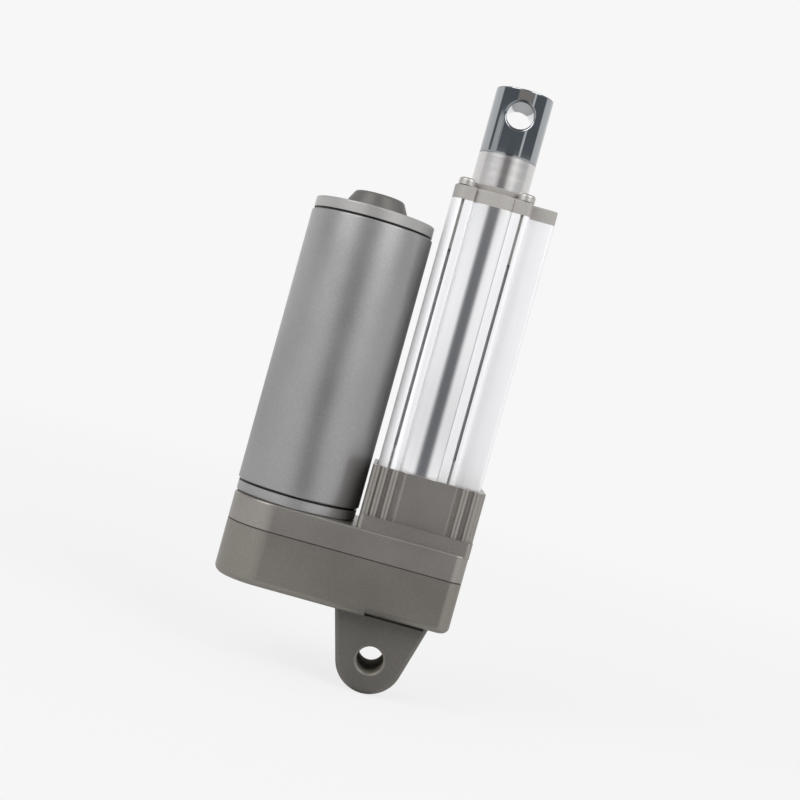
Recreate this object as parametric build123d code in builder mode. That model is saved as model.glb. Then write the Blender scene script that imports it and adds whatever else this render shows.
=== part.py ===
from build123d import *
import math
import os

# Electric linear actuator. A round motor and an extruded tube stand side by side on a flat
# two-stage gearbox. The gearbox turns a lead screw, and a nut on it pushes the rod out of the tube.
# Millimetres. The origin is the centre of the rear bore, +Z runs along the rod, +X points away
# from the motor, and -Y is the front.

# Travel and overall length, from the rear bore to the front bore with the rod in
stroke = 50.0
fixed_length = 120.0
closed_length = stroke + fixed_length

# Clearances
running_gap = 0.05
sliding_gap = 0.1
seat_gap = 0.15
gear_gap = 0.1

# Gear train: motor pinion to idler, then idler pinion to screw gear
pressure_angle = math.radians(20)
second_module = 1.0
motor_teeth = 12
idler_large_teeth = 32
idler_small_teeth = 12
screw_teeth = 22
addendum_factor = 0.8
dedendum_factor = 1.05
backlash = 0.16
first_face_width = 5.0
second_face_width = 6.8
pinion_overlap = 0.7
flank_points = 5

# Places of the motor and the idler: the can stands just clear of the tube's socket, and the idler's
# distance from the screw and from the motor settles the module of each pair of gears
can_radius = 19.1
can_gap = 0.8
socket_wall = 1.3
left_lobe = (-13.4, -6.7)

socket_left = left_lobe[0] - socket_wall
motor_x = socket_left - can_gap - can_radius
idler_x = -second_module * (idler_small_teeth + screw_teeth) / 2
first_module = 2 * (idler_x - motor_x) / (motor_teeth + idler_large_teeth)

# Gearbox castings: the can stands a little past the box at its end and on both sides, and the
# cover's floor is deeper at the motor's end, up to the lug
can_end_overhang = 0.6
can_side_overhang = 0.1
wing_right = 18.9
socket_end_wall = 1.3
step_depth = 1.0
step_right = -5.4
motor_end_radius = 14.5
tube_end_radius = 4.0
box_bottom = 14.1
cover_height = 15.6
gasket_thickness = 0.4
gasket_inset = 0.2
housing_height = 8.1
floor = 3.0
side_wall = 2.5
bottom_edge_radius = 2.2
top_edge_radius = 0.6
boss_radius = 3.6
box_screw_inset = 5.2
overcut = 1.0

box_right = wing_right + socket_end_wall
box_left = motor_x - can_radius + can_end_overhang
box_depth = 2 * (can_radius - can_side_overhang)
step_bottom = box_bottom - step_depth
gasket_bottom = box_bottom + cover_height
housing_bottom = gasket_bottom + gasket_thickness
housing_top = housing_bottom + housing_height
ceiling = housing_top - floor
floor_top = box_bottom + floor

# Tube socket on the upper casting
socket_flange_step = 0.7
socket_flange_height = 4.2
socket_side_wall = 3.5
socket_corner = 1.6
panel_left = -4.1
panel_right = 11.0
panel_stand = 1.0
panel_bevel = 1.25
rib_radius = 1.3
left_ribs = (-13.3, -10.9, -7.6)
right_ribs = (14.1, 17.6)
seat_depth = 4.8
lobe_depth = 24.2

socket_flange_depth = box_depth - 2 * socket_flange_step
socket_depth = lobe_depth + 2 * socket_side_wall
panel_depth = socket_depth + 2 * panel_stand

# Ball bearings, two in a row, 8 x 19 x 6
bearing_bore = 4.0
bearing_outer = 9.5
bearing_width = 6.0
inner_ring_outer = 5.8
seal_inner = 6.1
seal_outer = 8.2
seal_inset = 0.4
bearing_lip = 0.8
lip_bore = 7.5
plate_thickness = 1.6
plate_radius = 10.6
plate_bore = 8.4

bearing_bottom = housing_top + bearing_lip
bearing_top = bearing_bottom + 2 * bearing_width
tube_bottom = bearing_top + plate_thickness
socket_top = tube_bottom + seat_depth

# Rod
rod_radius = 9.0
rod_wall = 2.4
pin_hole_radius = 4.1
rim_chamfer = 0.6
tip_beyond_bore = 8.0
end_below_bore = 12.6
end_spigot = 9.0
rod_showing = 12.2

rod_end_seat = closed_length - end_below_bore
rod_inner = rod_radius - rod_wall

# Front cap, level with the tube's outline
cap_height = 4.3
cap_edge_radius = 0.5
cap_bore = 9.4
wiper_radius = 10.25
wiper_height = 2.2
lip_radius = 9.8
lip_height = 2.1
bush_flange_radius = 11.0
bush_flange_height = 1.5
bush_length = 9.0

cap_top = rod_end_seat - rod_showing
tube_top = cap_top - cap_height
tube_length = tube_top - tube_bottom

# Extruded tube
tube_radius = 12.6
bore_radius = 10.2
right_lobe = (5.1, 10.9)
left_corner = 4.0
right_corner = 1.5
inner_corner = 0.6
channel_left = -9.9
channel_right = 8.4
channel_y = 9.5
channel_slot = 0.9
wing_depth = 14.4
wing_corner = 1.0
wing_wall = 1.2
chamber_left = 12.1
finger_slot = 4.0

# Screws
m3_radius = 1.5
m3_head_radius = 2.7
m3_head_height = 2.3
m3_tight = 1.5
m3_clear = 1.6
head_round = 0.9
recess_width = 0.9
recess_length = 3.0
recess_depth = 1.1
tip_chamfer = 0.4
cap_screw_length = 20.0
tube_screw_length = 27.0
box_screw_length = 18.0
motor_screw_length = 5.8
head_pocket_gap = 0.25

# Rear lug
lug_radius = 10.4
lug_root = 29.6
lug_thickness = 24.0
lug_edge_radius = 1.2
relief_right = 13.1
relief_height = 1.5
relief_depth = 2.0
lug_spigot_radius = 6.5
lug_spigot_height = 4.5
lug_screw_x = 9.0
lug_screw_y = 7.0
m4_radius = 2.0
m4_head_radius = 3.8
m4_head_height = 2.0
lug_screw_depth = 7.0
tail_bush_radius = 4.5
tail_bush_length = 7.0
tail_relief_radius = 3.0
tail_relief_depth = 1.0

# Lead screw and its nut
screw_radius = 5.0
tail_radius = 2.5
collar_radius = 5.4
collar_height = 4.0
tail_end_gap = 0.4
clip_thickness = 0.6
clip_groove = 0.6
clip_outer = 5.6
clip_opening = 3.0
shoulder_below_clip = 0.4
key_width = 2.0
key_height = 2.1
key_depth = 1.1
key_length = 6.0
nut_gap = 1.5
nut_length = 12.0
nut_spigot = 6.0
nut_pin_radius = 1.2
pin_gap = 0.2
screw_beyond_nut = 3.0
finger_width = 3.7
finger_height = 8.0
finger_reach = 0.5
finger_root = 7.0
finger_offset = 3.5
finger_bevel = 0.4

nut_bottom = bearing_top + collar_height + nut_gap
nut_top = nut_bottom + nut_length
screw_top = nut_top + nut_spigot + stroke + screw_beyond_nut
finger_bottom = nut_bottom + finger_offset
finger_top = finger_bottom + finger_height

# Levels of the gears, from the floor up
washer_thickness = 0.5
washer_radius = 3.6
idler_shaft_radius = 2.0
shaft_seat = 1.5
idler_boss_radius = 4.0
idler_boss_height = 1.5
web_recess = 1.2
web_wall = 1.6
hub_wall = 2.2
level_gap = 2.0

idler_bottom = floor_top + idler_boss_height + washer_thickness + gear_gap
idler_step = idler_bottom + first_face_width
screw_gear_bottom = idler_step + level_gap
screw_gear_top = screw_gear_bottom + second_face_width
idler_top = screw_gear_top + pinion_overlap
pinion_bottom = idler_bottom - pinion_overlap
pinion_top = idler_step + pinion_overlap
top_boss_bottom = idler_top + gear_gap + washer_thickness

# Motor: the plate and the end cap are a little smaller than the can, and what is inside steps in
# from its bore
can_wall = 1.6
can_length = 85.2
can_edge = 0.5
plate_edge = 0.6
end_step = 0.4
motor_plate_thickness = 3.8
seam_height = 0.6
seam_depth = 0.6
register_height = 1.0
pilot_radius = 5.9
pilot_depth = 2.5
pilot_gap = 0.1
end_cap_thickness = 3.9
end_cap_edge = 0.4
cap_boss_base = 10.4
cap_boss_top = 7.6
cap_boss_height = 5.2
cap_boss_round = 1.4
shaft_radius = 2.0
motor_bush_radius = 4.0
motor_bush_length = 5.0
bush_bottom_wall = 0.8
shaft_hole_gap = 0.6
motor_screw_y = 12.0
tie_bolt_inset = 2.3
tie_bolt_radius = 1.3
tie_head_radius = 2.4
tie_head_height = 2.0
magnet_thickness = 3.2
magnet_start = 13.0
magnet_from_end = 22.2
magnet_half_angle = 58.0
air_gap = 0.6
core_start = 16.0
core_from_end = 25.2
core_slots = 10
slot_width = 1.8
slot_length = 4.2
slot_mouth = 1.1
winding_inner = 4.5
winding_step = 0.8
winding_height = 7.0
winding_round = 2.0
commutator_radius = 5.5
commutator_height = 8.5
commutator_from_end = 15.2
commutator_slot = 0.4
commutator_slot_depth = 0.8
holder_gap = 0.4
holder_thickness = 2.0
holder_bore = 7.0
brush_width = 5.0
brush_height = 5.0
brush_lift = 1.6
brush_box_wall = 1.0
brush_box_inset = 3.3
spring_room = 0.7
spring_strip = 0.4
spring_height = 3.0

motor_plate_radius = can_radius - end_step
plate_top = housing_top + motor_plate_thickness
can_top = plate_top + can_length
end_cap_top = can_top + end_cap_thickness
can_inner = can_radius - can_wall
tie_bolt_x = can_inner - tie_bolt_inset
magnet_inner = can_inner - magnet_thickness
magnet_length = can_length - magnet_start - magnet_from_end
core_length = can_length - core_start - core_from_end
core_radius = magnet_inner - air_gap
slot_root = core_radius - slot_length
slot_fill = core_radius - slot_mouth
winding_outer = core_radius - winding_step
brush_start = commutator_radius + sliding_gap
brush_box_end = can_inner - brush_box_inset
brush_length = brush_box_end - brush_box_wall - spring_room - brush_start
commutator_bottom = can_top - commutator_from_end
holder_bottom = commutator_bottom + commutator_height + holder_gap
brush_bottom = commutator_bottom + brush_lift
core_bottom = plate_top + core_start
rear_bush_bottom = can_top - register_height + bush_bottom_wall

# Limit switches in the tube's side channel
board_thickness = 1.0
board_width = 11.0
board_gap = 0.1
board_beyond = 5.0
switch_depth = 3.5
switch_width = 6.5
switch_length = 12.8
button_from_end = 4.8
button_radius = 0.9
button_out = 0.9
button_in = 0.9
button_hole_depth = 1.8
button_clear = 0.3

# Cable grommet in the back of the cover
grommet_x = -33.0
grommet_z = 22.5
grommet_hole = 3.0
grommet_bore = 2.0
grommet_flange = 4.2
grommet_lip = 1.2

os.makedirs("parts", exist_ok=True)


def level(z, x=0.0, y=0.0):
    """A plane parallel to XY at a height, with its own origin."""
    return Plane(origin=(x, y, z))


def gear_outline(module, teeth, half_pitch_turn):
    """Outline of an involute spur gear, turned by half a pitch where it meets a tooth at 180 degrees."""
    pitch_radius = module * teeth / 2
    base_radius = pitch_radius * math.cos(pressure_angle)
    tip_radius = pitch_radius + addendum_factor * module
    root_radius = pitch_radius - dedendum_factor * module
    tooth_at_pitch = (math.pi * module - backlash) / 2 / (2 * pitch_radius)
    tooth_at_base = tooth_at_pitch + math.tan(pressure_angle) - pressure_angle
    flank_start = max(base_radius, root_radius)
    pitch_angle = 2 * math.pi / teeth

    def polar(radius, angle):
        return (radius * math.cos(angle), radius * math.sin(angle))

    def half_angle(radius):
        slope = math.acos(min(1.0, base_radius / radius))
        return tooth_at_base - (math.tan(slope) - slope)

    steps = [index / (flank_points - 1) for index in range(flank_points)]
    radii = [flank_start + (tip_radius - flank_start) * step ** 1.5 for step in steps]
    with BuildSketch() as outline:
        with BuildLine():
            for tooth in range(teeth):
                middle = (tooth + half_pitch_turn / 2) * pitch_angle
                following = middle + pitch_angle
                rising = [polar(radius, middle - half_angle(radius)) for radius in radii]
                falling = [polar(radius, middle + half_angle(radius)) for radius in reversed(radii)]
                root_out = polar(root_radius, middle + half_angle(flank_start))
                root_middle = polar(root_radius, middle + pitch_angle / 2)
                root_in = polar(root_radius, following - half_angle(flank_start))
                next_start = polar(flank_start, following - half_angle(flank_start))
                Spline(*rising)
                ThreePointArc(rising[-1], polar(tip_radius, middle), falling[0])
                Spline(*falling)
                if root_radius < flank_start:
                    Line(falling[-1], root_out)
                ThreePointArc(root_out, root_middle, root_in)
                if root_radius < flank_start:
                    Line(root_in, next_start)
        make_face()
    return outline.sketch


def gearbox_outline(inset):
    """The gearbox seen from above, drawn in by an inset: a wide round end under the motor."""
    with BuildSketch() as outline:
        with Locations(((box_left + box_right) / 2, 0)):
            Rectangle(box_right - box_left, box_depth)
        fillet(outline.vertices().group_by(Axis.X)[0], motor_end_radius)
        fillet(outline.vertices().group_by(Axis.X)[-1], tube_end_radius)
        if inset > 0:
            offset(amount=-inset)
    return outline.sketch


def tube_outline(grow):
    """The extruded tube seen from above, grown by a clearance: a round tube, two lobes and a wing."""
    with BuildSketch() as outline:
        with Locations(((left_lobe[0] + left_lobe[1]) / 2, 0)):
            Rectangle(left_lobe[1] - left_lobe[0], lobe_depth)
        fillet(outline.vertices().group_by(Axis.X)[0], left_corner)
        fillet(outline.vertices().group_by(Axis.X)[-1], inner_corner)
        with BuildSketch(mode=Mode.PRIVATE) as right_side:
            with Locations(((right_lobe[0] + right_lobe[1]) / 2, 0)):
                Rectangle(right_lobe[1] - right_lobe[0], lobe_depth)
            fillet(right_side.vertices().group_by(Axis.X)[-1], right_corner)
            fillet(right_side.vertices().group_by(Axis.X)[0], inner_corner)
        add(right_side.sketch)
        with BuildSketch(mode=Mode.PRIVATE) as wing:
            with Locations(((right_lobe[0] + wing_right) / 2, 0)):
                Rectangle(wing_right - right_lobe[0], wing_depth)
            fillet(wing.vertices().group_by(Axis.X)[-1], wing_corner)
        add(wing.sketch)
        Circle(tube_radius)
        if grow > 0:
            offset(amount=grow)
    return outline.sketch


def cross_recess(depth, length=recess_length, width=recess_width):
    """The cross in a screw's head, as a sketch."""
    with BuildSketch() as cross:
        Rectangle(length, width)
        Rectangle(width, length)
    return cross.sketch


def pan_screw(length, radius=m3_radius, head_radius=m3_head_radius, head_height=m3_head_height):
    """A pan-head screw seated on Z 0, with its head above and its shank below."""
    with BuildPart() as screw:
        with BuildSketch():
            Circle(head_radius)
        extrude(amount=head_height)
        fillet(screw.faces().sort_by(Axis.Z)[-1].edges(), min(head_round, head_height / 2))
        with BuildSketch(level(head_height)):
            add(cross_recess(recess_depth))
        extrude(amount=-recess_depth, mode=Mode.SUBTRACT)
        with BuildSketch():
            Circle(radius)
        extrude(amount=-length)
        chamfer(screw.faces().sort_by(Axis.Z)[0].edges(), tip_chamfer)
    return screw.part


def flat_screw(length, radius, head_radius, head_height):
    """A countersunk screw with its flat head's top on Z 0 and its shank below."""
    with BuildPart() as screw:
        with BuildSketch():
            Circle(head_radius)
        with BuildSketch(level(-head_height)):
            Circle(radius)
        loft()
        with BuildSketch():
            add(cross_recess(recess_depth))
        extrude(amount=-recess_depth, mode=Mode.SUBTRACT)
        with BuildSketch(level(-head_height)):
            Circle(radius)
        extrude(amount=-(length - head_height))
        chamfer(screw.faces().sort_by(Axis.Z)[0].edges(), tip_chamfer)
    return screw.part


def save(part, name):
    """Label a finished piece and write it under its own name."""
    part.label = name
    export_step(part, "parts/" + name + ".step")


turned_over = (180, 0, 0)
corner_reach = (motor_end_radius - box_screw_inset) * math.sqrt(0.5)
motor_boss_x = box_left + motor_end_radius - corner_reach
motor_boss_y = box_depth / 2 - motor_end_radius + corner_reach
box_screw_places = [
    (box_right - box_screw_inset, box_depth / 2 - box_screw_inset),
    (box_right - box_screw_inset, -box_depth / 2 + box_screw_inset),
    (motor_boss_x, motor_boss_y),
    (motor_boss_x, -motor_boss_y),
]
channel_places = [(x, y) for x in (channel_left, channel_right) for y in (channel_y, -channel_y)]
lug_screw_places = [(x, y) for x in (lug_screw_x, -lug_screw_x) for y in (lug_screw_y, -lug_screw_y)]
motor_screw_places = [(motor_x, motor_screw_y), (motor_x, -motor_screw_y)]
tie_bolt_places = [(motor_x - tie_bolt_x, 0), (motor_x + tie_bolt_x, 0)]

# Rear lug: a cast eye whose sides flare from the end radius up to the cover's stepped floor, with a
# relief on each face, and a spigot that passes the floor and carries the screw's tail bush
lug_corner = (lug_root / 2, box_bottom)
corner_angle = math.atan2(lug_corner[1], lug_corner[0])
tangent_angle = corner_angle - math.acos(lug_radius / math.hypot(*lug_corner))
touch_x = lug_radius * math.cos(tangent_angle)
touch_z = lug_radius * math.sin(tangent_angle)
spigot_top = box_bottom + lug_spigot_height
tail_bush_bottom = spigot_top - tail_bush_length
with BuildPart() as rear_lug:
    with BuildSketch(Plane.XZ):
        with BuildLine():
            Line((-lug_corner[0], box_bottom), (lug_corner[0], box_bottom))
            Line((lug_corner[0], box_bottom), (touch_x, touch_z))
            ThreePointArc((touch_x, touch_z), (0, -lug_radius), (-touch_x, touch_z))
            Line((-touch_x, touch_z), (-lug_corner[0], box_bottom))
        make_face()
    extrude(amount=lug_thickness / 2, both=True)
    side_edges = rear_lug.faces().filter_by(Plane.XZ).edges()
    fillet(side_edges.filter_by(lambda edge: edge.center().Z < box_bottom - lug_edge_radius), lug_edge_radius)
    with BuildSketch(Plane.XZ.offset(-lug_thickness / 2)):
        Circle(pin_hole_radius)
    extrude(amount=lug_thickness, mode=Mode.SUBTRACT)
    chamfer([rim for face in rear_lug.faces().filter_by(Plane.XZ) for rim in face.inner_wires().edges()],
            rim_chamfer)
    for side in (1, -1):
        with BuildSketch(level(box_bottom)):
            with Locations(((step_right + relief_right) / 2, side * lug_thickness / 2)):
                Rectangle(relief_right - step_right, 2 * relief_depth)
        extrude(amount=-relief_height, mode=Mode.SUBTRACT)
    with BuildSketch(level(step_bottom)):
        with Locations((step_right, 0)):
            Rectangle(lug_root, lug_thickness, align=(Align.MAX, Align.CENTER))
    extrude(amount=step_depth, mode=Mode.SUBTRACT)
    with BuildSketch(level(step_bottom)):
        Circle(lug_spigot_radius)
    extrude(amount=step_depth + lug_spigot_height)
    with BuildSketch(level(spigot_top)):
        Circle(tail_bush_radius)
    extrude(amount=-tail_bush_length, mode=Mode.SUBTRACT)
    with BuildSketch(level(tail_bush_bottom)):
        Circle(tail_relief_radius)
    extrude(amount=-tail_relief_depth, mode=Mode.SUBTRACT)
    with BuildSketch(level(box_bottom)):
        with Locations(*lug_screw_places):
            Circle(m4_radius)
    extrude(amount=-lug_screw_depth, mode=Mode.SUBTRACT)
save(rear_lug.part, "rear_lug")

# Four countersunk screws hold the lug to the cover's floor from inside
with BuildPart() as lug_screws:
    with Locations(*[(x, y, floor_top) for x, y in lug_screw_places]):
        add(flat_screw(floor + lug_screw_depth, m4_radius, m4_head_radius, m4_head_height))
save(lug_screws.part, "lug_screws")

# Bronze bush for the lead screw's tail
with BuildPart() as tail_bush:
    with BuildSketch(level(tail_bush_bottom)):
        Circle(tail_bush_radius)
        Circle(tail_radius + running_gap, mode=Mode.SUBTRACT)
    extrude(amount=tail_bush_length)
save(tail_bush.part, "tail_bush")

# The deeper floor under the motor, which ends in a straight step beside the lug
with BuildPart() as deep_floor:
    with BuildSketch(level(step_bottom)):
        add(gearbox_outline(0))
    extrude(amount=step_depth + floor)
    fillet(deep_floor.faces().sort_by(Axis.Z)[0].edges(), bottom_edge_radius)
    with BuildSketch(level(step_bottom)):
        with Locations((step_right, 0)):
            Rectangle(box_right - step_right, box_depth, align=(Align.MIN, Align.CENTER))
    extrude(amount=step_depth + floor, mode=Mode.SUBTRACT)

# Gear cover: the lower casting, an open tub with screw bosses in its corners
with BuildPart() as gear_cover:
    with BuildSketch(level(box_bottom)):
        add(gearbox_outline(0))
    extrude(amount=cover_height)
    fillet(gear_cover.faces().sort_by(Axis.Z)[0].edges(), bottom_edge_radius)
    add(deep_floor.part)
    with BuildSketch(level(floor_top)):
        add(gearbox_outline(side_wall))
    extrude(amount=cover_height - floor, mode=Mode.SUBTRACT)
    with BuildSketch(level(floor_top)):
        with Locations(*box_screw_places):
            Circle(boss_radius)
    extrude(amount=cover_height - floor)
    with BuildSketch(level(floor_top)):
        with Locations((idler_x, 0)):
            Circle(idler_boss_radius)
    extrude(amount=idler_boss_height)
    with BuildSketch(level(floor_top + idler_boss_height)):
        with Locations((idler_x, 0)):
            Circle(idler_shaft_radius)
    extrude(amount=-(idler_boss_height + shaft_seat), mode=Mode.SUBTRACT)
    with BuildSketch(level(step_bottom)):
        Circle(lug_spigot_radius + sliding_gap)
        with Locations(*lug_screw_places):
            Circle(m4_radius + sliding_gap)
        with Locations(*box_screw_places):
            Circle(m3_clear)
    extrude(amount=step_depth + cover_height, mode=Mode.SUBTRACT)
    with Locations(*[(x, y, floor_top) for x, y in lug_screw_places]):
        Cone(m4_radius, m4_head_radius, m4_head_height, align=(Align.CENTER, Align.CENTER, Align.MAX),
             mode=Mode.SUBTRACT)
    with BuildSketch(level(step_bottom)):
        with Locations(*box_screw_places):
            Circle(m3_head_radius + head_pocket_gap)
    extrude(amount=step_depth + m3_head_height + head_pocket_gap, mode=Mode.SUBTRACT)
    with BuildSketch(Plane.XZ.offset(-box_depth / 2)):
        with Locations((grommet_x, grommet_z)):
            Circle(grommet_hole)
    extrude(amount=side_wall, mode=Mode.SUBTRACT)
save(gear_cover.part, "gear_cover")

# Four screws close the gearbox from below
with BuildPart() as housing_screws:
    with Locations(*[Location((x, y, box_bottom + m3_head_height + head_pocket_gap), turned_over)
                     for x, y in box_screw_places]):
        add(pan_screw(box_screw_length))
save(housing_screws.part, "housing_screws")

# Rubber grommet in the back wall, for the cable that the photo doesn't show
with BuildPart() as cable_grommet:
    with BuildSketch(Plane.XZ.offset(-box_depth / 2 - grommet_lip)):
        with Locations((grommet_x, grommet_z)):
            Circle(grommet_flange)
    extrude(amount=grommet_lip)
    fillet(cable_grommet.faces().sort_by(Axis.Y)[-1].edges(), grommet_lip / 2)
    with BuildSketch(Plane.XZ.offset(-box_depth / 2)):
        with Locations((grommet_x, grommet_z)):
            Circle(grommet_hole)
    extrude(amount=side_wall)
    with BuildSketch(Plane.XZ.offset(-box_depth / 2 + side_wall)):
        with Locations((grommet_x, grommet_z)):
            Circle(grommet_flange)
    extrude(amount=grommet_lip)
    with BuildSketch(Plane.XZ.offset(-box_depth / 2 - grommet_lip)):
        with Locations((grommet_x, grommet_z)):
            Circle(grommet_bore)
    extrude(amount=side_wall + 2 * grommet_lip, mode=Mode.SUBTRACT)
save(cable_grommet.part, "cable_grommet")

# Gasket between the castings
with BuildPart() as housing_gasket:
    with BuildSketch(level(gasket_bottom)):
        add(gearbox_outline(gasket_inset))
        add(gearbox_outline(side_wall), mode=Mode.SUBTRACT)
        with Locations(*box_screw_places):
            Circle(boss_radius - gasket_inset)
            Circle(m3_clear, mode=Mode.SUBTRACT)
    extrude(amount=gasket_thickness)
save(housing_gasket.part, "housing_gasket")

# Gear housing: the upper casting, with the tube's socket, the bearing seat and the motor's pilot hole
with BuildPart() as gear_housing:
    with BuildSketch(level(housing_bottom)):
        add(gearbox_outline(0))
    extrude(amount=housing_height)
    fillet(gear_housing.faces().sort_by(Axis.Z)[-1].edges(), top_edge_radius)
    with BuildSketch(level(housing_bottom)):
        add(gearbox_outline(side_wall))
    extrude(amount=ceiling - housing_bottom, mode=Mode.SUBTRACT)
    with BuildSketch(level(housing_bottom)):
        with Locations(*box_screw_places):
            Circle(boss_radius)
    extrude(amount=ceiling - housing_bottom)
    with BuildSketch(level(housing_top - top_edge_radius)):
        with Locations(((socket_left + box_right) / 2, 0)):
            RectangleRounded(box_right - socket_left, socket_flange_depth, socket_corner)
    extrude(amount=top_edge_radius + socket_flange_height)
    with BuildSketch(level(housing_top + socket_flange_height)):
        with Locations(((socket_left + box_right) / 2, 0)):
            RectangleRounded(box_right - socket_left, socket_depth, socket_corner)
        for side in (1, -1):
            with Locations(*[(x, side * (socket_depth / 2 - seat_gap)) for x in left_ribs + right_ribs]):
                Circle(rib_radius)
    extrude(amount=socket_top - housing_top - socket_flange_height)
    with BuildSketch(level(housing_top + socket_flange_height)):
        for side in (1, -1):
            Polygon(
                (panel_left - panel_bevel, side * socket_depth / 2),
                (panel_left, side * panel_depth / 2),
                (panel_right, side * panel_depth / 2),
                (panel_right + panel_bevel, side * socket_depth / 2),
                align=None,
            )
    extrude(amount=socket_top - housing_top - socket_flange_height)
    with BuildSketch(level(top_boss_bottom)):
        with Locations((idler_x, 0)):
            Circle(idler_boss_radius)
    extrude(amount=ceiling - top_boss_bottom)
    with BuildSketch(level(top_boss_bottom)):
        with Locations((idler_x, 0)):
            Circle(idler_shaft_radius)
    extrude(amount=ceiling - top_boss_bottom + shaft_seat, mode=Mode.SUBTRACT)
    with BuildSketch(level(ceiling)):
        Circle(lip_bore)
        with Locations(*channel_places):
            Circle(m3_clear)
    extrude(amount=tube_bottom - ceiling, mode=Mode.SUBTRACT)
    with BuildSketch(level(ceiling)):
        with Locations(*channel_places):
            Circle(m3_head_radius + head_pocket_gap)
    extrude(amount=m3_head_height + head_pocket_gap, mode=Mode.SUBTRACT)
    with BuildSketch(level(ceiling)):
        with Locations((motor_x, 0)):
            Circle(pilot_radius + pilot_gap)
        with Locations(*motor_screw_places):
            Circle(m3_clear)
    extrude(amount=floor, mode=Mode.SUBTRACT)
    with BuildSketch(level(housing_bottom)):
        with Locations(*box_screw_places):
            Circle(m3_tight)
    extrude(amount=ceiling - housing_bottom, mode=Mode.SUBTRACT)
    with BuildSketch(level(bearing_bottom)):
        Circle(bearing_outer)
    extrude(amount=bearing_top - bearing_bottom, mode=Mode.SUBTRACT)
    with BuildSketch(level(bearing_top)):
        Circle(plate_radius + sliding_gap)
    extrude(amount=plate_thickness, mode=Mode.SUBTRACT)
    with BuildSketch(level(tube_bottom)):
        add(tube_outline(seat_gap))
    extrude(amount=seat_depth, mode=Mode.SUBTRACT)
save(gear_housing.part, "gear_housing")


def outer_ring(ring_z):
    """The outer ring of a sealed ball bearing, with its two seals."""
    with BuildPart() as ring:
        with BuildSketch(level(ring_z)):
            Circle(bearing_outer)
            Circle(seal_outer, mode=Mode.SUBTRACT)
        extrude(amount=bearing_width)
        with BuildSketch(level(ring_z + seal_inset)):
            Circle(seal_outer)
            Circle(seal_inner, mode=Mode.SUBTRACT)
        extrude(amount=bearing_width - 2 * seal_inset)
    return ring.part


def inner_ring(ring_z):
    """The inner ring of a ball bearing, pressed on the lead screw."""
    with BuildPart() as ring:
        with BuildSketch(level(ring_z)):
            Circle(inner_ring_outer)
            Circle(bearing_bore, mode=Mode.SUBTRACT)
        extrude(amount=bearing_width)
    return ring.part


# Two sealed ball bearings in a row, in the socket's floor
for place, ring_z in (("lower", bearing_bottom), ("upper", bearing_bottom + bearing_width)):
    save(outer_ring(ring_z), place + "_bearing_outer_ring")
    save(inner_ring(ring_z), place + "_bearing_inner_ring")

# Plate on the bearings, clamped by the tube's end
with BuildPart() as bearing_plate:
    with BuildSketch(level(bearing_top)):
        Circle(plate_radius)
        Circle(plate_bore, mode=Mode.SUBTRACT)
    extrude(amount=plate_thickness)
save(bearing_plate.part, "bearing_plate")

# Extruded tube: the bore, four screw channels open along a slot, and the switch channel in the wing
with BuildPart() as outer_tube:
    with BuildSketch(level(tube_bottom)):
        add(tube_outline(0))
        Circle(bore_radius, mode=Mode.SUBTRACT)
        with Locations(*channel_places):
            Circle(m3_tight, mode=Mode.SUBTRACT)
        for x, y in channel_places:
            with Locations((x, math.copysign((channel_y + tube_radius) / 2, y))):
                Rectangle(channel_slot, tube_radius - channel_y, mode=Mode.SUBTRACT)
        with Locations(((chamber_left + wing_right - wing_wall) / 2, 0)):
            Rectangle(wing_right - wing_wall - chamber_left, wing_depth - 2 * wing_wall, mode=Mode.SUBTRACT)
        with Locations((bore_radius - overcut, 0)):
            Rectangle(chamber_left - bore_radius + overcut, finger_slot, align=(Align.MIN, Align.CENTER),
                      mode=Mode.SUBTRACT)
    extrude(amount=tube_length)
save(outer_tube.part, "outer_tube")

# Four screws from the gearbox up into the tube's channels
with BuildPart() as tube_screws:
    with Locations(*[Location((x, y, ceiling + m3_head_height + head_pocket_gap), turned_over)
                     for x, y in channel_places]):
        add(pan_screw(tube_screw_length))
save(tube_screws.part, "tube_screws")

# Front cap: a cast cap with the tube's outline, with seats for the guide bush and the wiper
wiper_bottom = cap_top - wiper_height
with BuildPart() as front_cap:
    with BuildSketch(level(tube_top)):
        add(tube_outline(0))
    extrude(amount=cap_height)
    fillet(front_cap.faces().sort_by(Axis.Z)[-1].edges(), cap_edge_radius)
    with BuildSketch(level(tube_top)):
        Circle(cap_bore)
        with Locations(*channel_places):
            Circle(m3_clear)
    extrude(amount=cap_height, mode=Mode.SUBTRACT)
    with BuildSketch(level(tube_top)):
        Circle(bush_flange_radius)
    extrude(amount=bush_flange_height, mode=Mode.SUBTRACT)
    with BuildSketch(level(wiper_bottom)):
        Circle(wiper_radius)
    extrude(amount=wiper_height, mode=Mode.SUBTRACT)
save(front_cap.part, "front_cap")

with BuildPart() as cap_screws:
    with Locations(*[(x, y, cap_top) for x, y in channel_places]):
        add(pan_screw(cap_screw_length))
save(cap_screws.part, "cap_screws")

# Wiper ring round the rod, seated in the cap
with BuildPart() as rod_wiper:
    with BuildSketch(level(wiper_bottom)):
        Circle(wiper_radius)
        Circle(rod_radius + running_gap, mode=Mode.SUBTRACT)
    extrude(amount=wiper_height)
    with BuildSketch(level(cap_top)):
        Circle(lip_radius)
        Circle(rod_radius + running_gap, mode=Mode.SUBTRACT)
    extrude(amount=lip_height)
save(rod_wiper.part, "rod_wiper")

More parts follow.
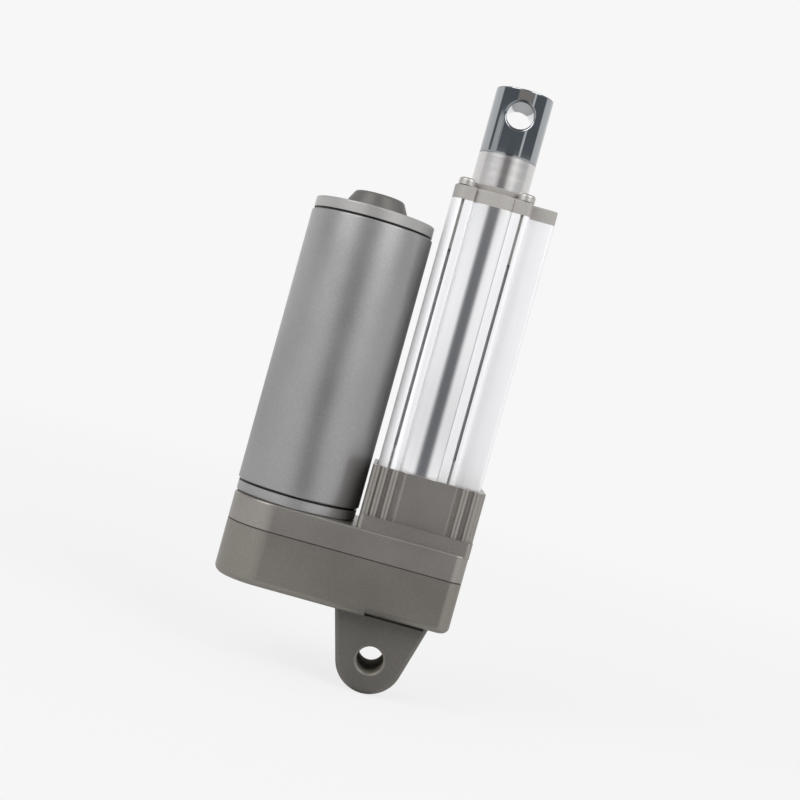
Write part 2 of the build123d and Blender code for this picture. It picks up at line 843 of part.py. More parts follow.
# Guide bush in the tube's mouth, with its flange under the cap
with BuildPart() as rod_guide_bush:
    with BuildSketch(level(tube_top)):
        Circle(bush_flange_radius)
    extrude(amount=bush_flange_height)
    with BuildSketch(level(tube_top)):
        Circle(bore_radius - running_gap)
    extrude(amount=-bush_length)
    with BuildSketch(level(tube_top - bush_length)):
        Circle(rod_radius + running_gap)
    extrude(amount=bush_length + bush_flange_height, mode=Mode.SUBTRACT)
save(rod_guide_bush.part, "rod_guide_bush")

# Lead screw: tail journal, gear seat, collar and threaded length, which is drawn smooth
tail_end = tail_bush_bottom + tail_end_gap
gear_seat_bottom = screw_gear_bottom - clip_thickness - shoulder_below_clip
with BuildPart() as lead_screw:
    with BuildSketch(level(tail_end)):
        Circle(tail_radius)
    extrude(amount=gear_seat_bottom - tail_end)
    with BuildSketch(level(gear_seat_bottom)):
        Circle(bearing_bore)
    extrude(amount=bearing_top - gear_seat_bottom)
    with BuildSketch(level(bearing_top)):
        Circle(collar_radius)
    extrude(amount=collar_height)
    with BuildSketch(level(bearing_top + collar_height)):
        Circle(screw_radius)
    extrude(amount=screw_top - bearing_top - collar_height)
    chamfer(lead_screw.faces().sort_by(Axis.Z)[-1].edges(), rim_chamfer)
    chamfer(lead_screw.faces().sort_by(Axis.Z)[0].edges(), tip_chamfer)
    with BuildSketch(level(screw_gear_bottom - clip_thickness)):
        Circle(bearing_bore)
        Circle(bearing_bore - clip_groove, mode=Mode.SUBTRACT)
    extrude(amount=clip_thickness, mode=Mode.SUBTRACT)
    with BuildSketch(level(screw_gear_bottom)):
        with Locations((bearing_bore - key_depth, 0)):
            Rectangle(key_height, key_width, align=(Align.MIN, Align.CENTER))
    extrude(amount=key_length, mode=Mode.SUBTRACT)
save(lead_screw.part, "lead_screw")

with BuildPart() as gear_key:
    with BuildSketch(level(screw_gear_bottom)):
        with Locations((bearing_bore - key_depth, 0)):
            Rectangle(key_height, key_width, align=(Align.MIN, Align.CENTER))
    extrude(amount=key_length)
save(gear_key.part, "gear_key")

# Open ring in the groove under the screw's gear
with BuildPart() as gear_clip:
    with BuildSketch(level(screw_gear_bottom - clip_thickness)):
        Circle(clip_outer)
        Circle(bearing_bore - clip_groove, mode=Mode.SUBTRACT)
        with Locations((-clip_outer, 0)):
            Rectangle(clip_outer, clip_opening, mode=Mode.SUBTRACT)
    extrude(amount=clip_thickness)
save(gear_clip.part, "gear_clip")

# Screw gear with a hub that reaches up to the lower bearing
screw_root = second_module * (screw_teeth / 2 - dedendum_factor)
with BuildPart() as screw_gear:
    with BuildSketch(level(screw_gear_bottom)):
        add(gear_outline(second_module, screw_teeth, 1))
    extrude(amount=second_face_width)
    with BuildSketch(level(screw_gear_top)):
        Circle(collar_radius)
    extrude(amount=bearing_bottom - screw_gear_top)
    with BuildSketch(level(screw_gear_top)):
        Circle(screw_root - web_wall)
        Circle(bearing_bore + hub_wall, mode=Mode.SUBTRACT)
    extrude(amount=-web_recess, mode=Mode.SUBTRACT)
    with BuildSketch(level(screw_gear_bottom)):
        Circle(bearing_bore)
    extrude(amount=bearing_bottom - screw_gear_bottom, mode=Mode.SUBTRACT)
    with BuildSketch(level(screw_gear_bottom)):
        with Locations((bearing_bore - key_depth, 0)):
            Rectangle(key_height, key_width, align=(Align.MIN, Align.CENTER))
    extrude(amount=key_length, mode=Mode.SUBTRACT)
save(screw_gear.part, "screw_gear")

# Idler: a large gear and a small pinion in one piece, on a fixed shaft
idler_root = first_module * (idler_large_teeth / 2 - dedendum_factor)
with BuildPart() as idler_gear:
    with BuildSketch(level(idler_bottom, idler_x)):
        add(gear_outline(first_module, idler_large_teeth, 1))
    extrude(amount=first_face_width)
    with BuildSketch(level(idler_step, idler_x)):
        add(gear_outline(second_module, idler_small_teeth, 0))
    extrude(amount=idler_top - idler_step)
    with BuildSketch(level(idler_bottom, idler_x)):
        Circle(idler_root - web_wall)
        Circle(idler_boss_radius + hub_wall, mode=Mode.SUBTRACT)
    extrude(amount=web_recess, mode=Mode.SUBTRACT)
    with BuildSketch(level(idler_bottom, idler_x)):
        Circle(idler_shaft_radius + running_gap)
    extrude(amount=idler_top - idler_bottom, mode=Mode.SUBTRACT)
save(idler_gear.part, "idler_gear")

with BuildPart() as idler_shaft:
    with BuildSketch(level(floor_top - shaft_seat, idler_x)):
        Circle(idler_shaft_radius)
    extrude(amount=ceiling + shaft_seat - (floor_top - shaft_seat))
save(idler_shaft.part, "idler_shaft")

with BuildPart() as idler_washers:
    for washer_z in (floor_top + idler_boss_height, top_boss_bottom - washer_thickness):
        with BuildSketch(level(washer_z, idler_x)):
            Circle(washer_radius)
            Circle(idler_shaft_radius, mode=Mode.SUBTRACT)
        extrude(amount=washer_thickness)
save(idler_washers.part, "idler_washers")

with BuildPart() as motor_pinion:
    with BuildSketch(level(pinion_bottom, motor_x)):
        add(gear_outline(first_module, motor_teeth, 0))
        Circle(shaft_radius, mode=Mode.SUBTRACT)
    extrude(amount=pinion_top - pinion_bottom)
save(motor_pinion.part, "motor_pinion")

# Drive nut: a flanged nut whose spigot plugs into the rod
with BuildPart() as drive_nut:
    with BuildSketch(level(nut_bottom)):
        Circle(bore_radius - sliding_gap)
    extrude(amount=nut_length)
    with BuildSketch(level(nut_top)):
        Circle(rod_inner)
    extrude(amount=nut_spigot)
    with BuildSketch(level(nut_bottom)):
        Circle(screw_radius + running_gap)
    extrude(amount=nut_length + nut_spigot, mode=Mode.SUBTRACT)
    with BuildSketch(level(finger_bottom)):
        with Locations((finger_root, 0)):
            Rectangle(bore_radius, finger_width, align=(Align.MIN, Align.CENTER))
    extrude(amount=finger_height, mode=Mode.SUBTRACT)
    with BuildSketch(Plane.XZ.offset(-rod_radius)):
        with Locations((0, nut_top + nut_spigot / 2)):
            Circle(nut_pin_radius)
    extrude(amount=2 * rod_radius, mode=Mode.SUBTRACT)
save(drive_nut.part, "drive_nut")

# Finger on the nut: it keeps the nut from turning and reaches the limit switches
finger_tip = chamber_left + finger_reach
with BuildPart() as switch_finger:
    with BuildSketch(level(finger_bottom)):
        with Locations((finger_root, 0)):
            Rectangle(finger_tip - finger_root, finger_width, align=(Align.MIN, Align.CENTER))
    extrude(amount=finger_height)
    chamfer(switch_finger.faces().sort_by(Axis.X)[-1].edges().filter_by(Axis.Y), finger_bevel)
save(switch_finger.part, "switch_finger")

# Rod tube, pinned to the nut's spigot
with BuildPart() as extension_tube:
    with BuildSketch(level(nut_top)):
        Circle(rod_radius)
        Circle(rod_inner, mode=Mode.SUBTRACT)
    extrude(amount=rod_end_seat - nut_top)
    with BuildSketch(Plane.XZ.offset(-rod_radius)):
        with Locations((0, nut_top + nut_spigot / 2)):
            Circle(nut_pin_radius)
    extrude(amount=2 * rod_radius, mode=Mode.SUBTRACT)
save(extension_tube.part, "extension_tube")

with BuildPart() as nut_pins:
    for pin_start in (screw_radius + pin_gap, pin_gap - rod_radius):
        with BuildSketch(Plane.XZ.offset(pin_start)):
            with Locations((0, nut_top + nut_spigot / 2)):
                Circle(nut_pin_radius)
        extrude(amount=rod_radius - screw_radius - 2 * pin_gap)
save(nut_pins.part, "nut_pins")

# Rod end: a turned tip plugged into the rod tube, with the cross bore, whose rims are broken
with BuildPart() as rod_end:
    with BuildSketch(level(rod_end_seat)):
        Circle(rod_radius)
    extrude(amount=end_below_bore + tip_beyond_bore)
    chamfer(rod_end.faces().sort_by(Axis.Z)[-1].edges(), rim_chamfer)
    with BuildSketch(level(rod_end_seat)):
        Circle(rod_inner)
    extrude(amount=-end_spigot)
    with BuildSketch(Plane.XZ.offset(-rod_radius)):
        with Locations((0, closed_length)):
            Circle(pin_hole_radius)
    extrude(amount=2 * rod_radius, mode=Mode.SUBTRACT)
    eye_wall = rod_end.faces().filter_by(GeomType.CYLINDER).sort_by(SortBy.RADIUS)[0]
    chamfer(eye_wall.edges().filter_by(GeomType.LINE, reverse=True), rim_chamfer)
save(rod_end.part, "rod_end")

# Switch board in the side channel, with a micro-switch near each end of the travel
board_right = wing_right - wing_wall - board_gap
board_left = board_right - board_thickness
switch_front = board_left - switch_depth
retract_z = finger_bottom - button_clear - button_radius
extend_z = finger_top + stroke + button_clear + button_radius
retract_switch_bottom = retract_z - button_from_end
extend_switch_bottom = extend_z + button_from_end - switch_length
with BuildPart() as switch_board:
    with BuildSketch(level(retract_switch_bottom - board_thickness / 2, board_left)):
        Rectangle(board_thickness, board_width, align=(Align.MIN, Align.CENTER))
    extrude(amount=extend_switch_bottom + switch_length + board_beyond - retract_switch_bottom)
save(switch_board.part, "switch_board")


def micro_switch(bottom, button_z):
    """A small sealed switch on the board, with the round hole for its button."""
    with BuildPart() as switch:
        with BuildSketch(level(bottom, switch_front)):
            Rectangle(switch_depth, switch_width, align=(Align.MIN, Align.CENTER))
        extrude(amount=switch_length)
        with BuildSketch(Plane(origin=(switch_front, 0, button_z), z_dir=(1, 0, 0))):
            Circle(button_radius + sliding_gap)
        extrude(amount=button_hole_depth, mode=Mode.SUBTRACT)
    return switch.part


def switch_button(button_z):
    """The button of a switch, pointing at the finger's path."""
    with BuildPart() as button:
        with BuildSketch(Plane(origin=(switch_front - button_out, 0, button_z), z_dir=(1, 0, 0))):
            Circle(button_radius)
        extrude(amount=button_out + button_in)
        fillet(button.faces().sort_by(Axis.X)[0].edges(), button_radius / 3)
    return button.part


save(micro_switch(retract_switch_bottom, retract_z), "retract_switch")
save(micro_switch(extend_switch_bottom, extend_z), "extend_switch")
save(switch_button(retract_z), "retract_button")
save(switch_button(extend_z), "extend_button")

# Motor front plate, with a pilot that centres it in the gearbox and a seam groove under the can
with BuildPart() as motor_front_plate:
    with BuildSketch(level(housing_top, motor_x)):
        Circle(motor_plate_radius)
    extrude(amount=motor_plate_thickness)
    fillet(motor_front_plate.faces().sort_by(Axis.Z)[0].edges(), plate_edge)
    with BuildSketch(level(plate_top - seam_height, motor_x)):
        Circle(motor_plate_radius)
        Circle(motor_plate_radius - seam_depth, mode=Mode.SUBTRACT)
    extrude(amount=seam_height, mode=Mode.SUBTRACT)
    with BuildSketch(level(plate_top, motor_x)):
        Circle(can_inner)
    extrude(amount=register_height)
    with BuildSketch(level(housing_top, motor_x)):
        Circle(pilot_radius)
    extrude(amount=-pilot_depth)
    with BuildSketch(level(plate_top + register_height, motor_x)):
        Circle(motor_bush_radius)
    extrude(amount=-motor_bush_length, mode=Mode.SUBTRACT)
    with BuildSketch(level(housing_top - pilot_depth, motor_x)):
        Circle(shaft_radius + shaft_hole_gap)
    extrude(amount=pilot_depth + motor_plate_thickness, mode=Mode.SUBTRACT)
    with BuildSketch(level(housing_top)):
        with Locations(*motor_screw_places):
            Circle(m3_tight)
    extrude(amount=motor_plate_thickness - bush_bottom_wall, mode=Mode.SUBTRACT)
    with BuildSketch(level(plate_top + register_height)):
        with Locations(*tie_bolt_places):
            Circle(tie_bolt_radius)
    extrude(amount=-(register_height + motor_plate_thickness - bush_bottom_wall), mode=Mode.SUBTRACT)
save(motor_front_plate.part, "motor_front_plate")

with BuildPart() as motor_screws:
    with Locations(*[Location((x, y, ceiling), turned_over) for x, y in motor_screw_places]):
        add(pan_screw(motor_screw_length))
save(motor_screws.part, "motor_screws")


def motor_bush(bottom):
    """A sintered bronze bush for the motor's shaft."""
    with BuildPart() as bush:
        with BuildSketch(level(bottom, motor_x)):
            Circle(motor_bush_radius)
            Circle(shaft_radius + running_gap, mode=Mode.SUBTRACT)
        extrude(amount=motor_bush_length)
    return bush.part


save(motor_bush(plate_top + register_height - motor_bush_length), "motor_front_bush")
save(motor_bush(rear_bush_bottom), "motor_rear_bush")

# Motor can: a drawn steel tube with its two ends broken
with BuildPart() as motor_can:
    with BuildSketch(level(plate_top, motor_x)):
        Circle(can_radius)
    extrude(amount=can_length)
    chamfer(motor_can.faces().filter_by(Plane.XY).edges(), can_edge)
    with BuildSketch(level(plate_top, motor_x)):
        Circle(can_inner)
    extrude(amount=can_length, mode=Mode.SUBTRACT)
save(motor_can.part, "motor_can")

# Motor end cap with the same seam groove and a conical bearing boss, closed on top
boss_top = end_cap_top + cap_boss_height
with BuildPart() as motor_end_cap:
    with BuildSketch(level(can_top, motor_x)):
        Circle(motor_plate_radius)
    extrude(amount=end_cap_thickness)
    fillet(motor_end_cap.faces().sort_by(Axis.Z)[-1].edges(), end_cap_edge)
    with BuildSketch(level(can_top, motor_x)):
        Circle(motor_plate_radius)
        Circle(motor_plate_radius - seam_depth, mode=Mode.SUBTRACT)
    extrude(amount=seam_height, mode=Mode.SUBTRACT)
    with BuildSketch(level(end_cap_top, motor_x)):
        Circle(cap_boss_base)
    with BuildSketch(level(boss_top, motor_x)):
        Circle(cap_boss_top)
    loft()
    fillet(motor_end_cap.faces().sort_by(Axis.Z)[-1].edges(), cap_boss_round)
    with BuildSketch(level(can_top, motor_x)):
        Circle(can_inner)
    extrude(amount=-register_height)
    with BuildSketch(level(can_top - register_height, motor_x)):
        Circle(shaft_radius + shaft_hole_gap)
    extrude(amount=bush_bottom_wall, mode=Mode.SUBTRACT)
    with BuildSketch(level(rear_bush_bottom, motor_x)):
        Circle(motor_bush_radius)
    extrude(amount=motor_bush_length, mode=Mode.SUBTRACT)
    with BuildSketch(level(can_top - register_height)):
        with Locations(*tie_bolt_places):
            Circle(tie_bolt_radius)
    extrude(amount=register_height + end_cap_thickness, mode=Mode.SUBTRACT)
    with BuildSketch(level(end_cap_top)):
        with Locations(*tie_bolt_places):
            Circle(tie_head_radius + head_pocket_gap)
    extrude(amount=-tie_head_height, mode=Mode.SUBTRACT)
save(motor_end_cap.part, "motor_end_cap")

# Two long bolts clamp the motor's ends on the can
tie_seat = end_cap_top - tie_head_height
tie_length = tie_seat - housing_top - bush_bottom_wall
with BuildPart() as motor_tie_bolts:
    with Locations(*[(x, y, tie_seat) for x, y in tie_bolt_places]):
        add(pan_screw(tie_length, tie_bolt_radius, tie_head_radius, tie_head_height))
save(motor_tie_bolts.part, "motor_tie_bolts")

# Two arc magnets inside the can, at its front and back
magnet_angle = math.radians(magnet_half_angle)
with BuildPart() as motor_magnets:
    for side in (1, -1):
        with BuildSketch(level(plate_top + magnet_start, motor_x)):
            with BuildLine():
                corners = [
                    (radius * math.sin(turn * magnet_angle), side * radius * math.cos(magnet_angle))
                    for radius, turn in (
                        (can_inner, -1), (can_inner, 1), (magnet_inner, 1), (magnet_inner, -1))
                ]
                ThreePointArc(corners[0], (0, side * can_inner), corners[1])
                Line(corners[1], corners[2])
                ThreePointArc(corners[2], (0, side * magnet_inner), corners[3])
                Line(corners[3], corners[0])
            make_face()
        extrude(amount=magnet_length)
save(motor_magnets.part, "motor_magnets")

# Motor shaft
with BuildPart() as motor_shaft:
    with BuildSketch(level(pinion_bottom, motor_x)):
        Circle(shaft_radius)
    extrude(amount=rear_bush_bottom + motor_bush_length - sliding_gap - pinion_bottom)
save(motor_shaft.part, "motor_shaft")

# Laminated armature core with slots for the windings
with BuildPart() as armature_core:
    with BuildSketch(level(core_bottom, motor_x)):
        Circle(core_radius)
        with PolarLocations(slot_root, core_slots):
            Rectangle(slot_length + overcut, slot_width, align=(Align.MIN, Align.CENTER), mode=Mode.SUBTRACT)
        Circle(shaft_radius, mode=Mode.SUBTRACT)
    extrude(amount=core_length)
save(armature_core.part, "armature_core")

# Copper windings: bars in the slots, joined by a round bundle at each end
with BuildPart() as armature_windings:
    with BuildSketch(level(core_bottom, motor_x)):
        with PolarLocations(slot_root, core_slots):
            Rectangle(slot_fill - slot_root, slot_width, align=(Align.MIN, Align.CENTER))
    extrude(amount=core_length)
    for end_z, direction in ((core_bottom, -1), (core_bottom + core_length, 1)):
        with BuildSketch(level(end_z, motor_x)):
            Circle(winding_outer)
            Circle(winding_inner, mode=Mode.SUBTRACT)
        extrude(amount=direction * winding_height)
    for end in (0, -1):
        fillet(armature_windings.faces().sort_by(Axis.Z)[end].outer_wire().edges(), winding_round)
save(armature_windings.part, "armature_windings")

# Commutator with one bar to each slot
with BuildPart() as commutator:
    with BuildSketch(level(commutator_bottom, motor_x)):
        Circle(commutator_radius)
        with PolarLocations(commutator_radius - commutator_slot_depth, core_slots):
            Rectangle(commutator_slot_depth + overcut, commutator_slot, align=(Align.MIN, Align.CENTER),
                      mode=Mode.SUBTRACT)
        Circle(shaft_radius, mode=Mode.SUBTRACT)
    extrude(amount=commutator_height)
save(commutator.part, "commutator")

# Brush holder: an insulating ring with two brush boxes hanging from it
brush_box_bottom = brush_bottom - brush_box_wall
with BuildPart() as brush_holder:
    with BuildSketch(level(holder_bottom, motor_x)):
        Circle(can_inner)
        Circle(holder_bore, mode=Mode.SUBTRACT)
    extrude(amount=holder_thickness)
    with BuildSketch(level(brush_box_bottom, motor_x)):
        for side in (1, -1):
            with Locations((0, side * (holder_bore + brush_box_end) / 2)):
                Rectangle(brush_width + 2 * brush_box_wall, brush_box_end - holder_bore)
    extrude(amount=holder_bottom - brush_box_bottom)
    with BuildSketch(level(brush_bottom, motor_x)):
        Rectangle(brush_width, 2 * (brush_box_end - brush_box_wall))
    extrude(amount=brush_height, mode=Mode.SUBTRACT)
    with BuildSketch(level(holder_bottom)):
        with Locations(*tie_bolt_places):
            Circle(tie_bolt_radius + sliding_gap)
    extrude(amount=holder_thickness, mode=Mode.SUBTRACT)
save(brush_holder.part, "brush_holder")

# Two carbon brushes, hollowed to the commutator
with BuildPart() as brushes:
    with BuildSketch(level(brush_bottom, motor_x)):
        Rectangle(brush_width, 2 * (brush_start + brush_length))
        Circle(brush_start, mode=Mode.SUBTRACT)
    extrude(amount=brush_height)
save(brushes.part, "brushes")

# Leaf springs behind the brushes
leaf_half = brush_width / 2 - spring_strip
leaf_end = brush_box_end - brush_box_wall - spring_strip / 2
leaf_middle = brush_start + brush_length + spring_strip / 2
with BuildPart() as brush_springs:
    with BuildSketch(level(brush_bottom + (brush_height - spring_height) / 2, motor_x)):
        for side in (1, -1):
            with BuildLine() as leaf:
                Polyline((-leaf_half, side * leaf_end), (0, side * leaf_middle), (leaf_half, side * leaf_end))
            trace(leaf.line, line_width=spring_strip)
    extrude(amount=spring_height)
save(brush_springs.part, "brush_springs")
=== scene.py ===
"""Dresses an electric linear actuator for the studio: a lead screw in an aluminium tube, driven through gears in a
cast box by a round motor that stands beside the tube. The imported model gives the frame. Every piece is in metres, and
a name that ends in mm, or a size that is multiplied by MM, is in millimetres."""
import math

import bmesh
import bpy
import numpy as np
from mathutils import Matrix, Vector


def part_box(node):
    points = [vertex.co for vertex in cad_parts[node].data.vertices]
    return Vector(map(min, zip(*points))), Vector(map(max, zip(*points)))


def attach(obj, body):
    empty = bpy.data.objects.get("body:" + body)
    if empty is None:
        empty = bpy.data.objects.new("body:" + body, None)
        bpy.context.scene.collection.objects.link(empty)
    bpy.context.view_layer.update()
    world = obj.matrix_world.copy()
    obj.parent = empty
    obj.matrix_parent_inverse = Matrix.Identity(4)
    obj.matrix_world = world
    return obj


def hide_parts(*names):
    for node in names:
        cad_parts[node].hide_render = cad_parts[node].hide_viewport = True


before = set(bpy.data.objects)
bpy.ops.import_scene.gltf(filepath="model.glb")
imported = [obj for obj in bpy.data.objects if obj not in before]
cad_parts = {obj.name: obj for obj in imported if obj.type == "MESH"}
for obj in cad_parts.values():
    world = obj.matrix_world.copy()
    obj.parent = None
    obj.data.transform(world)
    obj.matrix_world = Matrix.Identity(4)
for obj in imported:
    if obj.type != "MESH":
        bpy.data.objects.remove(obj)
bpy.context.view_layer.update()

# Rear lug
# A zinc die-casting, screwed up into the cover from inside, in the same satin metallic lacquer as the gearbox but a
# shade darker. The rim of its bore carries a painted highlight, and its wall a dull sheet of painted shade.
MM = 0.001
noise_low, noise_high = 0.3, 0.7  # nearly all of a noise texture's values lie between these two


def linear(hex_colour):
    """An sRGB hex colour as linear red, green, blue and alpha: each channel under 0.04045 is divided by 12.92, and
    any other is raised to the power 2.4 once its offset of 0.055 is taken off."""
    channels = np.array([int(hex_colour[start:start + 2], 16) for start in (1, 3, 5)]) / 255
    curved = np.where(channels <= 0.04045, channels / 12.92, ((channels + 0.055) / 1.055) ** 2.4)
    return (*curved.tolist(), 1.0)


def add_node(tree, kind, sockets, **settings):
    """Adds one node to a material. The settings are its own properties, and sockets gives an input, by its name or
    number, a value or another node's output, which is joined to it."""
    node = tree.nodes.new(kind)
    for name, value in settings.items():
        setattr(node, name, value)
    for name, value in sockets.items():
        if isinstance(value, bpy.types.NodeSocket):
            tree.links.new(value, node.inputs[name])
        else:
            node.inputs[name].default_value = value
    return node


def blank_material(name):
    """An empty material and the Object coordinates that its pattern is drawn on."""
    material = bpy.data.materials.new(name)
    material.use_nodes = True
    material.node_tree.nodes.clear()
    place = add_node(material.node_tree, "ShaderNodeTexCoord", {}).outputs["Object"]
    return material, material.node_tree, place


def beyond(tree, place, axis_mm, across, start_mm, full_mm):
    """0 nearer to an axis than the first distance and 1 further from it than the second. The axis passes through the
    point axis_mm, and across has a 1 for each direction that counts in the distance."""
    offset = add_node(tree, "ShaderNodeVectorMath", {
        0: place, 1: [value * MM for value in axis_mm]}, operation="SUBTRACT")
    flat = add_node(tree, "ShaderNodeVectorMath", {0: offset.outputs["Vector"], 1: across}, operation="MULTIPLY")
    reach = add_node(tree, "ShaderNodeVectorMath", {0: flat.outputs["Vector"]}, operation="LENGTH")
    return add_node(tree, "ShaderNodeMapRange", {
        "Value": reach.outputs["Value"], "From Min": start_mm * MM, "From Max": full_mm * MM}).outputs["Result"]


def lacquer(name, body_hex, flake_hex, flake_mm, peel_mm, roughness, metallic, zones=()):
    """Sprayed metallic lacquer: flakes a little lighter than the body colour, cloudy where the coat is thicker, with
    the slight orange peel of a sprayed coat. Real flakes are near 0.05 mm across. They are drawn several times
    coarser, because smaller ones don't show in the render. Each zone gives the colour nearer to an axis than the
    last one: (colour, axis_mm, across, start_mm, full_mm)."""
    cloud_mm, peel_depth_mm = 16, 0.01
    flake_from, flake_full, most_flake = 0.45, 0.7, 0.6
    shade_swing, gloss_swing = 0.03, 0.03
    material, tree, place = blank_material(name)
    flakes = add_node(tree, "ShaderNodeTexNoise", {"Vector": place, "Scale": 1 / (flake_mm * MM), "Detail": 2.0})
    clouds = add_node(tree, "ShaderNodeTexNoise", {"Vector": place, "Scale": 1 / (cloud_mm * MM), "Detail": 3.0})
    peel = add_node(tree, "ShaderNodeTexNoise", {"Vector": place, "Scale": 1 / (peel_mm * MM), "Detail": 1.0})
    speckle = add_node(tree, "ShaderNodeMapRange", {
        "Value": flakes.outputs["Fac"], "From Min": flake_from, "From Max": flake_full,
        "To Min": 0.0, "To Max": most_flake})
    colour = add_node(tree, "ShaderNodeMix", {
        0: speckle.outputs["Result"], 6: linear(body_hex), 7: linear(flake_hex)}, data_type="RGBA")
    for zone_hex, *extent in zones:
        colour = add_node(tree, "ShaderNodeMix", {
            0: beyond(tree, place, *extent), 6: linear(zone_hex), 7: colour.outputs[2]}, data_type="RGBA")
    shade = add_node(tree, "ShaderNodeMapRange", {
        "Value": clouds.outputs["Fac"], "From Min": noise_low, "From Max": noise_high,
        "To Min": 1 - shade_swing, "To Max": 1 + shade_swing})
    shaded = add_node(tree, "ShaderNodeMix", {
        0: 1.0, 6: colour.outputs[2], 7: shade.outputs["Result"]}, data_type="RGBA", blend_type="MULTIPLY")
    gloss = add_node(tree, "ShaderNodeMapRange", {
        "Value": clouds.outputs["Fac"], "From Min": noise_low, "From Max": noise_high,
        "To Min": roughness - gloss_swing, "To Max": roughness + gloss_swing})
    bump = add_node(tree, "ShaderNodeBump", {
        "Height": peel.outputs["Fac"], "Strength": 0.3, "Distance": peel_depth_mm * MM})
    shader = add_node(tree, "ShaderNodeBsdfPrincipled", {
        "Base Color": shaded.outputs[2], "Roughness": gloss.outputs["Result"], "Metallic": metallic,
        "Normal": bump.outputs["Normal"]})
    add_node(tree, "ShaderNodeOutputMaterial", {"Surface": shader.outputs["BSDF"]})
    return material


def moulded(name, light_hex, dark_hex, grain_mm, roughness, specular_level=0.5):
    """Moulded rubber or polymer, pressed powder, or a dull sheet of painted shade: two close shades in a fine grain,
    with a faint texture.
    """
    gloss_swing, grain_depth_mm = 0.05, 0.02
    material, tree, place = blank_material(name)
    grain = add_node(tree, "ShaderNodeTexNoise", {"Vector": place, "Scale": 1 / (grain_mm * MM), "Detail": 3.0})
    colour = add_node(tree, "ShaderNodeMix", {
        0: grain.outputs["Fac"], 6: linear(dark_hex), 7: linear(light_hex)}, data_type="RGBA")
    gloss = add_node(tree, "ShaderNodeMapRange", {
        "Value": grain.outputs["Fac"], "From Min": noise_low, "From Max": noise_high,
        "To Min": roughness - gloss_swing, "To Max": roughness + gloss_swing})
    bump = add_node(tree, "ShaderNodeBump", {
        "Height": grain.outputs["Fac"], "Strength": 0.3, "Distance": grain_depth_mm * MM})
    shader = add_node(tree, "ShaderNodeBsdfPrincipled", {
        "Base Color": colour.outputs[2], "Roughness": gloss.outputs["Result"],
        "Specular IOR Level": specular_level, "Normal": bump.outputs["Normal"]})
    add_node(tree, "ShaderNodeOutputMaterial", {"Surface": shader.outputs["BSDF"]})
    return material


def dress(material, *nodes):
    """Gives CAD nodes a finish in place of the plain one that they were packed with."""
    for node in nodes:
        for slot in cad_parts[node].material_slots:
            slot.material = material


def skin(name, grids, closes_both_ways):
    """A mesh over grids of points: point (i, j) is joined to its neighbours in the next row and column, and the last
    column to the first. A grid that closes both ways has its last row joined to its first as well. Points that fall
    together are merged, also where the edges of two grids meet. Edges sharper than 50 degrees stay crisp."""
    merge_mm, crisp_degrees = 0.002, 50
    points, faces, start = [], [], 0
    for grid in grids:
        rows, columns = grid.shape[:2]
        index = start + np.arange(rows * columns).reshape(rows, columns)
        if closes_both_ways:
            index = np.concatenate([index, index[:1]])
        beside = np.roll(index, -1, 1)
        faces.append(np.stack([index[:-1], index[1:], beside[1:], beside[:-1]], -1).reshape(-1, 4))
        points.append(grid.reshape(-1, 3))
        start += rows * columns
    mesh = bpy.data.meshes.new(name)
    mesh.from_pydata(np.concatenate(points).tolist(), [], np.concatenate(faces).tolist())
    shell = bmesh.new()
    shell.from_mesh(mesh)
    bmesh.ops.remove_doubles(shell, verts=shell.verts, dist=merge_mm * MM)
    bmesh.ops.recalc_face_normals(shell, faces=shell.faces)
    shell.to_mesh(mesh)
    shell.free()
    mesh.shade_smooth()
    mesh.set_sharp_from_angle(angle=math.radians(crisp_degrees))
    return bpy.data.objects.new(name, mesh)


def turned(name, centre_mm, profile_mm, steps=128):
    """A turned piece: the closed profile of radius and height is carried once round the vertical axis through the
    centre. Point j of the profile at turn t is (cx + r cos t, cy + r sin t, z). The grid closes both ways."""
    radius, height = np.array(profile_mm, float).T * MM
    turn = np.linspace(0, 2 * np.pi, steps, endpoint=False)[:, None]
    grid = np.stack(np.broadcast_arrays(
        centre_mm[0] * MM + radius * np.cos(turn), centre_mm[1] * MM + radius * np.sin(turn), height), -1)
    return skin(name, [grid], closes_both_ways=True)


def place_piece(piece, material, body, slot, *nodes):
    """Puts a finished piece in the scene with its finish, on its body, in place of the CAD nodes it stands for."""
    bpy.context.scene.collection.objects.link(piece)
    piece.data.materials.clear()
    piece.data.materials.append(material)
    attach(piece, body)
    if nodes:
        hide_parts(*nodes)


# Satin metallic lacquer, sprayed on the casting: soft wide highlights with a faint sparkle. A paler ring is painted on
# the chamfer of the bore: a painted highlight where the rounded rim would catch the light.
bore_radius, bore_rim = 4.1, 4.7
rim_highlight_fade = 0.1
lug_lacquer = lacquer(
    "satin_lacquer_on_the_lug", "#6b6863", "#76736e", flake_mm=0.45, peel_mm=1.2, roughness=0.4, metallic=0.45,
    zones=[("#85827c", (0, 0, 0), (1, 0, 1), bore_rim, bore_rim + rim_highlight_fade)])
dress(lug_lacquer, "rear_lug")

# A dull sheet laid on the bore's wall, painted shade: it keeps the wall from shining where it is seen at a low angle.
bore_shade_finish = moulded("painted_shade_in_the_bore", "#7d7870", "#6a655e", grain_mm=0.8, roughness=0.8, specular_level=0.0)
film_thickness, film_root = 0.03, 0.2
film_inside, film_outside = bore_radius - film_thickness, bore_radius + film_root
wall_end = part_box("rear_lug")[1].y / MM - (bore_rim - bore_radius)
bore_shade_sheet = turned("shade_sheet_on_the_bore_wall", (0.0, 0.0), [
    (film_outside, -wall_end), (film_outside, wall_end), (film_inside, wall_end), (film_inside, -wall_end)])
bore_shade_sheet.data.transform(Matrix.Rotation(math.radians(90), 4, "X"))
place_piece(bore_shade_sheet, bore_shade_finish, "base", "lug_paint")

# Gearbox
# Two zinc die-castings, the cover below and the housing with the tube's socket above, sprayed in a warm grey metallic
# lacquer. A fibre gasket shows as a dark line between them, and pan-head screws close them from below.


